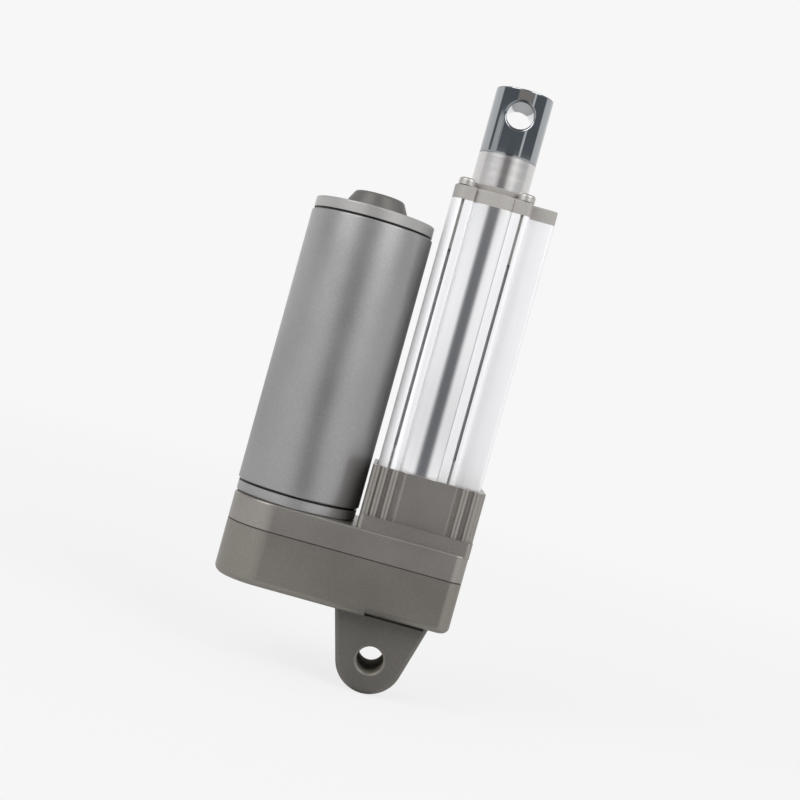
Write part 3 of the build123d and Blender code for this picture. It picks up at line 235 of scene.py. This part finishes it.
def eased_copy(name, node, edge_mm):
    """The CAD node's shape with its doubles merged, flat faces joined again and its sharp edges eased by a small
    round, which is what catches the light on a real edge."""
    merge_mm, flat_degrees, sharp_degrees, round_steps = 0.0005, 0.3, 32, 2
    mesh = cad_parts[node].data.copy()
    shell = bmesh.new()
    shell.from_mesh(mesh)
    bmesh.ops.remove_doubles(shell, verts=shell.verts, dist=merge_mm * MM)
    bmesh.ops.dissolve_limit(
        shell, angle_limit=math.radians(flat_degrees), verts=shell.verts, edges=shell.edges)
    shell.to_mesh(mesh)
    shell.free()
    mesh.shade_smooth()
    piece = bpy.data.objects.new(name, mesh)
    ease = piece.modifiers.new("eased edges", "BEVEL")
    ease.width = edge_mm * MM
    ease.segments = round_steps
    ease.limit_method = "ANGLE"
    ease.angle_limit = math.radians(sharp_degrees)
    flats = piece.modifiers.new("flat faces stay flat", "WEIGHTED_NORMAL")
    flats.mode = "FACE_AREA_WITH_ANGLE"
    return piece


# Satin metallic lacquer, sprayed on die-cast zinc: a warm grey that pales where the round corners face a lamp. The
# housing's coat is painted a shade lighter than the cover's, painted light on the upper casting, and is a little
# glossier.
cover_lacquer = lacquer(
    "satin_lacquer_on_the_cover", "#837f78", "#908c85", flake_mm=0.45, peel_mm=1.2, roughness=0.35, metallic=0.65)
place_piece(eased_copy("cover_casting", "gear_cover", edge_mm=0.3), cover_lacquer, "base", "housing_paint",
            "gear_cover")
# Painted light: the housing's coat is a shade lighter than the cover's.
housing_lacquer_painted_lighter = lacquer(
    "satin_lacquer_on_the_housing_painted_lighter", "#928e89", "#9f9b96", flake_mm=0.45, peel_mm=1.2, roughness=0.33, metallic=0.7)
place_piece(eased_copy("housing_casting", "gear_housing", edge_mm=0.3), housing_lacquer_painted_lighter, "base", "housing_paint",
            "gear_housing")

# Fibre board pressed with resin and die-cut: matt, dark and slightly mottled, so its edge reads as a thin dark line.
gasket_fibre = moulded("pressed_fibre_gasket", "#4a4744", "#3b3936", grain_mm=0.4, roughness=0.7)
dress(gasket_fibre, "housing_gasket")

# Nitrile rubber, moulded: near black, with a dull and even sheen.
black_rubber = moulded("black_nitrile_rubber", "#2c2c2b", "#1d1d1d", grain_mm=0.4, roughness=0.6)
dress(black_rubber, "cable_grommet")


def bare_metal(name, light_hex, dark_hex, streak_mm, roughness, mark_mm=0.004):
    """Bare or plated metal with the marks of its making: streak_mm gives the size of a mark along X, Y and Z, so that
    a large third number makes long lines along the piece and a small one makes rings round it. mark_mm is a mark's
    depth. Real tool marks are finer than this, and are drawn as coarse as they need to be to show."""
    gloss_swing = 0.15
    material, tree, place = blank_material(name)
    stretched = add_node(tree, "ShaderNodeMapping", {
        "Vector": place, "Scale": [1 / (size * MM) for size in streak_mm]})
    streaks = add_node(tree, "ShaderNodeTexNoise", {
        "Vector": stretched.outputs["Vector"], "Scale": 1.0, "Detail": 3.0})
    colour = add_node(tree, "ShaderNodeMix", {
        0: streaks.outputs["Fac"], 6: linear(dark_hex), 7: linear(light_hex)}, data_type="RGBA")
    gloss = add_node(tree, "ShaderNodeMapRange", {
        "Value": streaks.outputs["Fac"], "From Min": noise_low, "From Max": noise_high,
        "To Min": roughness * (1 - gloss_swing), "To Max": roughness * (1 + gloss_swing)})
    bump = add_node(tree, "ShaderNodeBump", {
        "Height": streaks.outputs["Fac"], "Strength": 0.2, "Distance": mark_mm * MM})
    shader = add_node(tree, "ShaderNodeBsdfPrincipled", {
        "Base Color": colour.outputs[2], "Roughness": gloss.outputs["Result"], "Metallic": 1.0,
        "Normal": bump.outputs["Normal"]})
    add_node(tree, "ShaderNodeOutputMaterial", {"Surface": shader.outputs["BSDF"]})
    return material


# Bright zinc, plated on rolled steel screws: a cool, slightly broken shine.
screw_zinc = bare_metal(
    "zinc_plated_screw_steel", "#dcdcdb", "#c2c2c1", streak_mm=(0.8, 0.8, 0.4), roughness=0.24)
place_piece(eased_copy("box_screws", "housing_screws", edge_mm=0.1), screw_zinc, "base", "screw_steel",
            "housing_screws")
dress(screw_zinc, "lug_screws", "tube_screws", "motor_screws")

# Gear train and bearings
# Inside the box: a hardened motor pinion, an acetal idler on a ground shaft between washers, a bronze gear on the
# lead screw, and two sealed ball bearings. Nothing of it shows from outside.

# Bearing and shaft steel, hardened and ground: fine rings round the piece that blur what it mirrors.
hard_steel = bare_metal("hardened_ground_steel", "#b9b9b8", "#9a9a99", streak_mm=(2, 2, 0.2), roughness=0.28)
dress(hard_steel, "motor_pinion", "idler_shaft", "idler_washers", "lower_bearing_inner_ring",
      "lower_bearing_outer_ring", "upper_bearing_inner_ring", "upper_bearing_outer_ring", "bearing_plate",
      "gear_key", "gear_clip")

# Natural acetal, machined from rod: a milky white with a soft sheen.
idler_acetal = moulded("natural_acetal", "#e9e7df", "#dfddd4", grain_mm=1.0, roughness=0.35)
dress(idler_acetal, "idler_gear")

# Tin bronze, cast and hobbed: a brownish gold with cutting marks round it.
gear_bronze = bare_metal("tin_bronze", "#c79a5b", "#a97d42", streak_mm=(3, 3, 0.3), roughness=0.36)
dress(gear_bronze, "screw_gear", "tail_bush")

# Motor
# A brushed motor: a deep-drawn steel can between a turned front plate and a cast end cap, clamped by two long bolts
# and sprayed in a lighter metallic lacquer. A narrow groove runs round the can at both ends.


def rounded(corners_mm, steps=5):
    """A closed outline with its corners rounded: a corner (x, y, r) becomes an arc of radius r that touches both of
    its sides, and a corner with r of 0 stays sharp. The point at share s of an arc of sweep a, from p to q as seen
    from the arc's middle, is p sin((1 - s) a) / sin(a) + q sin(s a) / sin(a)."""
    corners = np.array(corners_mm, float)
    outline = []
    for before, corner, after in zip(np.roll(corners, 1, 0), corners, np.roll(corners, -1, 0)):
        point, radius = corner[:2], corner[2]
        if radius == 0:
            outline.append(point)
            continue
        back = (before[:2] - point) / np.linalg.norm(before[:2] - point)
        ahead = (after[:2] - point) / np.linalg.norm(after[:2] - point)
        half_angle = math.acos(np.clip(back @ ahead, -1, 1)) / 2
        middle = point + (back + ahead) / np.linalg.norm(back + ahead) * radius / math.sin(half_angle)
        first = point + back * radius / math.tan(half_angle) - middle
        last = point + ahead * radius / math.tan(half_angle) - middle
        sweep = math.pi - 2 * half_angle
        share = np.linspace(0, 1, steps + 1)[:, None]
        arc = (first * np.sin((1 - share) * sweep) + last * np.sin(share * sweep)) / math.sin(sweep)
        outline.extend(middle + arc)
    return np.array(outline)


can_low, can_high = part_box("motor_can")
can_axis = ((can_low.x + can_high.x) / 2 / MM, 0.0)
can_radius, can_wall, can_edge = (can_high.x - can_low.x) / 2 / MM, 1.6, 0.5
can_foot, can_top = can_low.z / MM, can_high.z / MM

# Metallic lacquer, sprayed on smooth drawn steel: a neutral grey that turns through a dark middle to a light band on
# each side, with less orange peel than on the castings.
motor_lacquer = lacquer(
    "metallic_lacquer_on_drawn_steel", "#9a9999", "#a8a7a7", flake_mm=0.45, peel_mm=0.9, roughness=0.36,
    metallic=0.7)
motor_can_shell = turned("motor_can_shell", can_axis, rounded([
    (can_radius - can_wall, can_foot, 0), (can_radius, can_foot, can_edge),
    (can_radius, can_top, can_edge), (can_radius - can_wall, can_top, 0)]))
place_piece(motor_can_shell, motor_lacquer, "base", "motor_paint", "motor_can")

# The same lacquer on the turned plate and the cast end cap. The end cap's coat is painted a shade lighter, painted
# light, and its dome darker, painted shade. A nearly black band is painted in the groove at each end of the can:
# painted shade.
groove_height, groove_fade, groove_shade_hex = 0.6, 0.05, "#262524"
groove_reach = (groove_height / 2, groove_height / 2 + groove_fade)
plate_coat = lacquer(
    "metallic_lacquer_on_the_front_plate", "#9a9999", "#a8a7a7", flake_mm=0.45, peel_mm=0.9, roughness=0.36,
    metallic=0.6, zones=[(groove_shade_hex, (0, 0, can_foot - groove_height / 2), (0, 0, 1), *groove_reach)])
place_piece(eased_copy("motor_plate", "motor_front_plate", edge_mm=0.15), plate_coat, "base", "motor_paint",
            "motor_front_plate")
dome_radius, dome_fade = 11.5, 0.4
# Painted light and shade: the end cap's coat is a shade lighter than the can's, and its dome is painted darker.
cap_coat_painted_light_and_shade = lacquer(
    "metallic_lacquer_on_the_end_cap", "#a8a7a5", "#b3b2b0", flake_mm=0.45, peel_mm=0.9, roughness=0.36,
    metallic=0.5, zones=[
        ("#6f6d6a", (*can_axis, 0), (1, 1, 0), dome_radius, dome_radius + dome_fade),
        (groove_shade_hex, (0, 0, can_top + groove_height / 2), (0, 0, 1), *groove_reach)])
place_piece(eased_copy("motor_cap", "motor_end_cap", edge_mm=0.15), cap_coat_painted_light_and_shade, "base", "motor_paint",
            "motor_end_cap")
place_piece(eased_copy("motor_bolts", "motor_tie_bolts", edge_mm=0.1), screw_zinc, "base", "screw_steel",
            "motor_tie_bolts")

# Motor, inside
# Ferrite magnets in the can, a laminated core with enamelled copper windings on a ground shaft, and carbon brushes
# in a black polymer holder.

# Ferrite, pressed and sintered: charcoal, with a dull ceramic grain.
ferrite = moulded("sintered_ferrite", "#3c3b3a", "#2a2928", grain_mm=0.5, roughness=0.5)
dress(ferrite, "motor_magnets")

# Silicon steel sheet, stamped and stacked: dull grey with the edges of the sheets as fine rings.
lamination = bare_metal("stamped_core_laminations", "#8f8f8e", "#6e6e6d", streak_mm=(3, 3, 0.5), roughness=0.4)
dress(lamination, "armature_core", "motor_shaft", "brush_springs")

# Copper wire in clear enamel, wound along the core: reddish lines that run lengthwise.
copper = bare_metal("enamelled_copper_wire", "#c4703a", "#9d4f22", streak_mm=(0.5, 0.5, 6), roughness=0.35)
dress(copper, "armature_windings", "commutator")

# Bronze powder, pressed, sintered and soaked in oil: brown gold, dull and evenly speckled.
sintered = bare_metal("sintered_bronze", "#b08a56", "#8e6c3e", streak_mm=(0.4, 0.4, 0.4), roughness=0.5)
dress(sintered, "motor_front_bush", "motor_rear_bush")

# Carbon and graphite, pressed and baked: near black with a faint grey gleam.
carbon = moulded("pressed_carbon", "#3a3a3b", "#262627", grain_mm=0.3, roughness=0.55)
dress(carbon, "brushes")

# Glass-filled polymer, moulded: black, with the fibres just visible as a mottle.
black_polymer = moulded("black_glass_filled_polymer", "#26272a", "#1b1c1e", grain_mm=0.6, roughness=0.45)
dress(black_polymer, "brush_holder")

# Outer tube
# Extruded aluminium, bright dipped and clear anodised: a round tube with two lobes that hold the screws in open
# channels, and a hollow wing for the limit switches. The die leaves faint lines all along it.


def drawn_aluminium(name):
    """Bright anodised extrusion: the round is burnished and mirrors the studio in soft bands, and the lobes and the
    wing, which stand outside it, are left more matt by the die. Die lines run the whole length. Real ones are finer
    than 0.6 mm, and are drawn as coarse as they need to be to show."""
    line_mm, line_length_mm, line_depth_mm = 0.6, 90, 0.003
    round_end_mm, matt_from_mm = 12.62, 13.2
    material, tree, place = blank_material(name)
    stretched = add_node(tree, "ShaderNodeMapping", {
        "Vector": place, "Scale": [1 / (size * MM) for size in (line_mm, line_mm, line_length_mm)]})
    lines = add_node(tree, "ShaderNodeTexNoise", {
        "Vector": stretched.outputs["Vector"], "Scale": 1.0, "Detail": 2.0})
    colour = add_node(tree, "ShaderNodeMix", {
        0: lines.outputs["Fac"], 6: linear("#eeeef0"), 7: linear("#f6f6f7")}, data_type="RGBA")
    outside = beyond(tree, place, (0, 0, 0), (1, 1, 0), round_end_mm, matt_from_mm)
    matt = add_node(tree, "ShaderNodeMapRange", {"Value": outside, "To Min": 0.17, "To Max": 0.55})
    metallic = add_node(tree, "ShaderNodeMapRange", {"Value": outside, "To Min": 1.0, "To Max": 0.5})
    bump = add_node(tree, "ShaderNodeBump", {
        "Height": lines.outputs["Fac"], "Strength": 0.15, "Distance": line_depth_mm * MM})
    shader = add_node(tree, "ShaderNodeBsdfPrincipled", {
        "Base Color": colour.outputs[2], "Roughness": matt.outputs["Result"],
        "Metallic": metallic.outputs["Result"], "Normal": bump.outputs["Normal"]})
    add_node(tree, "ShaderNodeOutputMaterial", {"Surface": shader.outputs["BSDF"]})
    return material


# Aluminium, extruded, bright dipped and anodised: almost white, with one dark band down the round where it mirrors
# the gap for the lens.
tube_metal = drawn_aluminium("bright_anodised_extrusion")
place_piece(eased_copy("tube_extrusion", "outer_tube", edge_mm=0.15), tube_metal, "base", "bright_aluminium",
            "outer_tube")

# Lead screw, nut and switches
# Inside the tube: the rolled screw, the bronze nut pinned to the rod, its polymer finger, and a small board with two
# sealed switches whose buttons the finger comes up to at each end of the travel.
dress(hard_steel, "lead_screw", "nut_pins")
dress(gear_bronze, "drive_nut")
dress(black_polymer, "switch_finger", "retract_switch", "extend_switch")
dress(idler_acetal, "rod_guide_bush")

# Coloured polymer, moulded: a dull red brown that sets the buttons off from their black switches.
button_polymer = moulded("red_brown_switch_button", "#8a3b2a", "#7b3324", grain_mm=0.5, roughness=0.4)
dress(button_polymer, "retract_button", "extend_button")

# Glass cloth laminated in epoxy under a green resist: the cloth shows as a faint mottle.
laminate = moulded("green_glass_epoxy_laminate", "#2f6a45", "#27583a", grain_mm=1.2, roughness=0.4)
dress(laminate, "switch_board")

# Rod tube
# Cold-drawn stainless tube, centreless ground to size. It slides through the wiper with the rod end on its tip and
# the nut pinned in its foot.

# Stainless steel, ground: fine rings round it blur what it mirrors into soft upright bands.
ground_steel = bare_metal(
    "ground_stainless_tube", "#d6d4d3", "#c6c4c3", streak_mm=(30, 30, 0.5), roughness=0.24, mark_mm=0.0002)
place_piece(eased_copy("rod_tube", "extension_tube", edge_mm=0.25), ground_steel, "rod", "satin_steel",
            "extension_tube")

# Rod end
# A turned steel plug, polished and chromium plated all over, with a cross bore for the pin. It stands on the rod tube,
# and the rims of the bore are rounded by polishing.


def bored_plug(name, radius, foot, top, edge, eye_height, eye_radius, eye_rim):
    """A round bar with a cross bore along Y, in millimetres. On the unrolled surface, with u round the bar and z up
    it, each point of the bore's rim is joined by a straight ray to the edge of the rectangle that is half of the
    surface, and a point (u, z) lies at (r sin(u / r), -r cos(u / r), z). The rim is a quarter round, the bore's wall
    joins front and back, and rings that turn inward close the two ends."""
    end_steps, side_steps, ray_steps, rim_steps, edge_steps = 96, 64, 35, 6, 5
    nearly_nothing, same_point = 1e-9, 1e-4
    half_width = radius * np.pi / 2
    above, below = top - edge - eye_height, foot + edge - eye_height
    upper, lower = math.atan2(above, half_width), math.atan2(-below, half_width)
    bends = (upper, math.pi - upper, math.pi + lower, 2 * math.pi - lower, 2 * math.pi + upper)
    turn = np.concatenate([
        np.linspace(start, stop, count, endpoint=False)
        for start, stop, count in zip(bends[:-1], bends[1:], (end_steps, side_steps, end_steps, side_steps))])
    cosine, sine = np.cos(turn), np.sin(turn)
    ray = np.minimum(half_width / np.maximum(np.abs(cosine), nearly_nothing),
                     np.where(sine > 0, above, -below) / np.maximum(np.abs(sine), nearly_nothing))
    rim_outside = eye_radius + eye_rim
    rim_u, rim_z = radius * np.arcsin(rim_outside * cosine / radius), rim_outside * sine
    share = np.linspace(1, 0, ray_steps + 1)[:, None]
    u, z = rim_u + (ray * cosine - rim_u) * share, rim_z + (ray * sine - rim_z) * share
    face = np.stack([radius * np.sin(u / radius), -radius * np.cos(u / radius), z], -1)
    bend = np.linspace(0, np.pi / 2, rim_steps + 1)[1:, None]
    reach = eye_radius + eye_rim * (1 - np.sin(bend))
    depth = eye_rim * (1 - np.cos(bend)) - np.sqrt(radius ** 2 - (reach * cosine) ** 2)
    front = np.concatenate([face, np.stack([reach * cosine, depth, reach * sine], -1)])
    back = front[::-1] * (1, -1, 1)
    grids = [np.concatenate([front, back]) + (0, 0, eye_height)]
    bend = np.linspace(0, np.pi / 2, edge_steps + 1)
    inward = np.append(1 - edge / radius * (1 - np.cos(bend)), (0.5, 0.0))
    outward = edge * np.append(np.sin(bend), (1.0, 1.0))
    for level, direction in ((above, 1), (below, -1)):
        half = face[0][np.isclose(face[0, :, 2], level)]
        half = half[np.argsort(half[:, 0])]
        sides = np.array([[-radius, 0, level], [radius, 0, level]])
        ring = np.concatenate([sides[:1], half, sides[1:], half[::-1] * (1, -1, 1)])
        ring = ring[np.append(True, np.linalg.norm(np.diff(ring, axis=0), axis=1) > same_point)]
        narrowed = ring[None] * np.stack([inward, inward, np.ones_like(inward)], -1)[:, None]
        lift = np.zeros((len(inward), 1, 3))
        lift[:, 0, 2] = direction * outward + eye_height
        grids.append(narrowed + lift)
    return skin(name, [grid * MM for grid in grids], closes_both_ways=False)


# Chromium, plated on polished steel: it mirrors the studio sharply, slate blue in front and white at the sides.
chrome = bare_metal(
    "polished_chromium_plate", "#a2a5a8", "#9b9ea1", streak_mm=(6, 6, 6), roughness=0.03, mark_mm=0.0005)
rod_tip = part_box("rod_end")[1]
rod_end_plug = bored_plug(
    "rod_end_plug", radius=rod_tip.x / MM, foot=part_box("extension_tube")[1].z / MM, top=rod_tip.z / MM, edge=0.3,
    eye_height=170.0, eye_radius=4.1, eye_rim=0.6)
place_piece(rod_end_plug, chrome, "rod", "bright_chrome", "rod_end")

# Front cap
# A cast aluminium cap with the tube's outline, blasted and clear lacquered to a pale beige grey. Four pan-head screws
# hold it in the tube's channels, and a grey wiper ring keeps dirt off the rod.

# Cast aluminium, blasted with fine grit under clear lacquer: pale and almost matt, with a fine even speckle.
cap_lacquer = lacquer(
    "blasted_cast_aluminium", "#a3a09c", "#aeaba7", flake_mm=0.4, peel_mm=0.8, roughness=0.5, metallic=0.15)
place_piece(eased_copy("cap_casting", "front_cap", edge_mm=0.1), cap_lacquer, "base", "cap_metal", "front_cap")

# Zinc plate that has dulled in the air: a paler, softer shine than on the box's screws.
cap_screw_metal = bare_metal(
    "dull_zinc_on_the_cap_screws", "#c9c7c3", "#b5b3af", streak_mm=(0.8, 0.8, 0.4), roughness=0.45)
place_piece(eased_copy("cap_fixings", "cap_screws", edge_mm=0.1), cap_screw_metal, "base", "screw_steel",
            "cap_screws")

# Grey nitrile rubber, moulded: a light, even grey with a dull sheen.
wiper_rubber = moulded("grey_wiper_rubber", "#9d9995", "#918d89", grain_mm=0.5, roughness=0.5)
wiper_low, wiper_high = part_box("rod_wiper")
wiper_foot, wiper_top = wiper_low.z / MM, wiper_high.z / MM
cap_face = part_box("front_cap")[1].z / MM
wiper_bore, wiper_seat, wiper_lip = 9.05, 10.25, 9.8
lip_edge, small_edge = 0.5, 0.1
wiper = turned("wiper_ring", (0.0, 0.0), rounded([
    (wiper_bore, wiper_foot, 0), (wiper_seat, wiper_foot, 0), (wiper_seat, cap_face, small_edge),
    (wiper_lip, cap_face, small_edge), (wiper_lip, wiper_top, lip_edge), (wiper_bore, wiper_top, small_edge)]))
place_piece(wiper, wiper_rubber, "base", "seal_rubber", "rod_wiper")

# Studio floor
# Pale paper just under the lug. The camera sees it nearly as bright as the wall behind, and it keeps the shadow. In
# front, under the lens, a dark strip is painted that only reflections see: painted shade that carries on the lens gap.


def between(tree, value, limits):
    """1 where the value lies between the two middle limits, falling smoothly to 0 at the first and the last."""
    start, full, end_full, end = limits
    rise = add_node(tree, "ShaderNodeMapRange", {
        "Value": value, "From Min": start, "From Max": full}, interpolation_type="SMOOTHSTEP")
    fall = add_node(tree, "ShaderNodeMapRange", {
        "Value": value, "From Min": end, "From Max": end_full}, interpolation_type="SMOOTHSTEP")
    return add_node(tree, "ShaderNodeMath", {
        0: rise.outputs["Result"], 1: fall.outputs["Result"]}, operation="MULTIPLY").outputs[0]


def bearing_of(tree, heading):
    """The bearing of a direction or a place from straight in front, in radians: with its sign, positive to the right
    as seen from the object's front, then without it. The third output is the height of the heading."""
    parts = add_node(tree, "ShaderNodeSeparateXYZ", {"Vector": heading})
    forward = add_node(tree, "ShaderNodeMath", {0: parts.outputs["Y"], 1: -1.0}, operation="MULTIPLY")
    bearing = add_node(tree, "ShaderNodeMath", {0: parts.outputs["X"], 1: forward.outputs[0]}, operation="ARCTAN2")
    aside = add_node(tree, "ShaderNodeMath", {0: bearing.outputs[0]}, operation="ABSOLUTE")
    return bearing.outputs[0], aside.outputs[0], parts.outputs["Z"]


floor_gap, floor_reach = 0.2 * MM, 30.0
floor_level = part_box("rear_lug")[0].z - floor_gap
floor_mesh = bpy.data.meshes.new("studio_floor")
floor_mesh.from_pydata([(across * floor_reach, along * floor_reach, floor_level)
                        for across, along in ((-1, -1), (1, -1), (1, 1), (-1, 1))], [], [(0, 1, 2, 3)])
floor = bpy.data.objects.new("studio_floor", floor_mesh)
bpy.context.scene.collection.objects.link(floor)

# Seamless studio paper: matt and even, apart from the strip of painted shade that only reflections see. Further from
# the object it blends into the wall, so that no horizon shows. The negative limits count for nothing, because a bearing
# without its sign is never negative.
studio_hex, lens_gap_hex = "#f7f7f7", "#696a6e"
lens_gap_degrees = (-60, -30, 11, 22)
blend_from, blend_full = 0.2, 0.8
near_glow, near_share = 0.995, 0.85
floor_paper, tree, place = blank_material("pale_studio_paper")
ray = add_node(tree, "ShaderNodeLightPath", {})
under_lens = between(tree, bearing_of(tree, place)[1], np.radians(lens_gap_degrees).tolist())
# Painted shade: the paper is painted dark in front, under the lens, for reflections only.
painted_gap_in_reflections = add_node(tree, "ShaderNodeMath", {0: under_lens, 1: ray.outputs["Is Glossy Ray"]}, operation="MULTIPLY")
paper_colour = add_node(tree, "ShaderNodeMix", {
    0: painted_gap_in_reflections.outputs[0], 6: linear("#ececec"), 7: linear(lens_gap_hex)}, data_type="RGBA")
paper = add_node(tree, "ShaderNodeBsdfDiffuse", {"Color": paper_colour.outputs[2]})
away = add_node(tree, "ShaderNodeVectorMath", {0: place}, operation="LENGTH").outputs["Value"]
brightness = add_node(tree, "ShaderNodeMapRange", {
    "Value": away, "From Min": blend_from, "From Max": blend_full, "To Min": near_glow, "To Max": 1.0})
paleness = add_node(tree, "ShaderNodeMapRange", {
    "Value": away, "From Min": blend_from, "From Max": blend_full, "To Min": near_share, "To Max": 1.0})
glow = add_node(tree, "ShaderNodeEmission", {
    "Color": linear(studio_hex), "Strength": brightness.outputs["Result"]})
share = add_node(tree, "ShaderNodeMath", {
    0: ray.outputs["Is Camera Ray"], 1: paleness.outputs["Result"]}, operation="MULTIPLY")
both = add_node(tree, "ShaderNodeMixShader", {0: share.outputs[0], 1: paper.outputs[0], 2: glow.outputs[0]})
add_node(tree, "ShaderNodeOutputMaterial", {"Surface": both.outputs[0]})
floor_mesh.materials.append(floor_paper)

# Studio walls
# White walls all round. Each patch on them, in the order they are hung, has a colour, a range of bearings in degrees
# and a range of heights, from -1 straight down to 1 straight up. The camera itself sees only the plain studio white.
world = bpy.data.worlds.new("studio_walls")
bpy.context.scene.world = world
world.use_nodes = True
tree = world.node_tree
tree.nodes.clear()
heading = add_node(tree, "ShaderNodeTexCoord", {}).outputs["Generated"]
bearing, aside, level = bearing_of(tree, heading)
ragged_scale, ragged_swing = 30.0, 0.7
ragged = add_node(tree, "ShaderNodeTexNoise", {"Vector": heading, "Scale": ragged_scale, "Detail": 3.0})
ragged_bearing = add_node(tree, "ShaderNodeMath", {
    0: ragged.outputs["Fac"], 1: ragged_swing, 2: bearing}, operation="MULTIPLY_ADD").outputs[0]

# A grey ceiling, and the dark gap for the lens. Above the front walls a strip of the dark room shows, which the
# chromium mirrors as slate, with a warm board and a ragged pale door in it. One narrow white lamp stands before all.
all_round, all_heights = (-400, -390, 390, 400), (-3.0, -2.0, 2.0, 3.0)
ceiling = ("#cbcbcb", bearing, all_round, (0.26, 0.32, 2.0, 3.0))
lens_gap = (lens_gap_hex, aside, lens_gap_degrees, all_heights)
dark_room = ("#767c82", aside, (-60, -30, 92, 100), (0.152, 0.166, 0.26, 0.30))
warm_board = ("#b3aca6", bearing, (-28, -25, 32, 34), (0.186, 0.194, 0.26, 0.30))
pale_door = ("#e7e7e7", ragged_bearing, (-63, -58, -38, -33), (0.12, 0.14, 0.184, 0.190))
lamp_line = ("#ffffff", bearing, (34, 36, 43, 45), all_heights)
wall_colour = linear("#ffffff")
for patch_hex, facing, degrees, heights in (ceiling, lens_gap, dark_room, warm_board, pale_door, lamp_line):
    patch = add_node(tree, "ShaderNodeMath", {
        0: between(tree, facing, np.radians(degrees).tolist()), 1: between(tree, level, heights)},
        operation="MULTIPLY")
    wall_colour = add_node(tree, "ShaderNodeMix", {
        0: patch.outputs[0], 6: wall_colour, 7: linear(patch_hex)}, data_type="RGBA").outputs[2]
ray = add_node(tree, "ShaderNodeLightPath", {})
shown = add_node(tree, "ShaderNodeMix", {
    0: ray.outputs["Is Camera Ray"], 6: wall_colour, 7: linear(studio_hex)}, data_type="RGBA")
background = add_node(tree, "ShaderNodeBackground", {"Color": shown.outputs[2], "Strength": 1.0})
add_node(tree, "ShaderNodeOutputWorld", {"Surface": background.outputs[0]})

# Studio lamps
# Two square soft boxes left and right in front of the object, above the line of the lens, turned to its middle. The
# camera doesn't see them, but the metal does.
aim = np.array([-0.012, 0.0, 0.08])
box_side, box_distance, box_radiance = 1.0, 1.6, 3.3
box_elevation = math.radians(36)
for name, azimuth_degrees in (("soft_box_left", -44), ("soft_box_right", 42)):
    azimuth = math.radians(azimuth_degrees)
    lamp = bpy.data.lights.new(name, "AREA")
    lamp.shape = "RECTANGLE"
    lamp.size, lamp.size_y = box_side, box_side
    lamp.energy = math.pi * box_side ** 2 * box_radiance
    soft_box = bpy.data.objects.new(name, lamp)
    bpy.context.scene.collection.objects.link(soft_box)
    way = np.array([math.sin(azimuth) * math.cos(box_elevation), -math.cos(azimuth) * math.cos(box_elevation),
                    math.sin(box_elevation)])
    soft_box.location = (aim + way * box_distance).tolist()
    soft_box.rotation_euler = (math.radians(90) - box_elevation, 0.0, azimuth)
    soft_box.visible_camera = False

# Camera
# It stands 0.46 m in front of the tube's axis, a little to the motor's side, tipped down slightly and rolled so that
# the rod leans to the right.
camera_data = bpy.data.cameras.new("camera")
camera_data.sensor_width = 36.0
camera_data.lens = 67.5
camera_data.clip_start = 0.01
camera = bpy.data.objects.new("camera", camera_data)
bpy.context.scene.collection.objects.link(camera)
camera.location = (-0.0121, -0.4615, 0.0832)
tip_down, roll = math.radians(0.69), math.radians(15.5)
camera.rotation_euler = (
    Matrix.Rotation(math.radians(90) - tip_down, 3, "X") @ Matrix.Rotation(roll, 3, "Z")).to_euler()
bpy.context.scene.camera = camera
bpy.context.scene.view_settings.view_transform = "Standard"
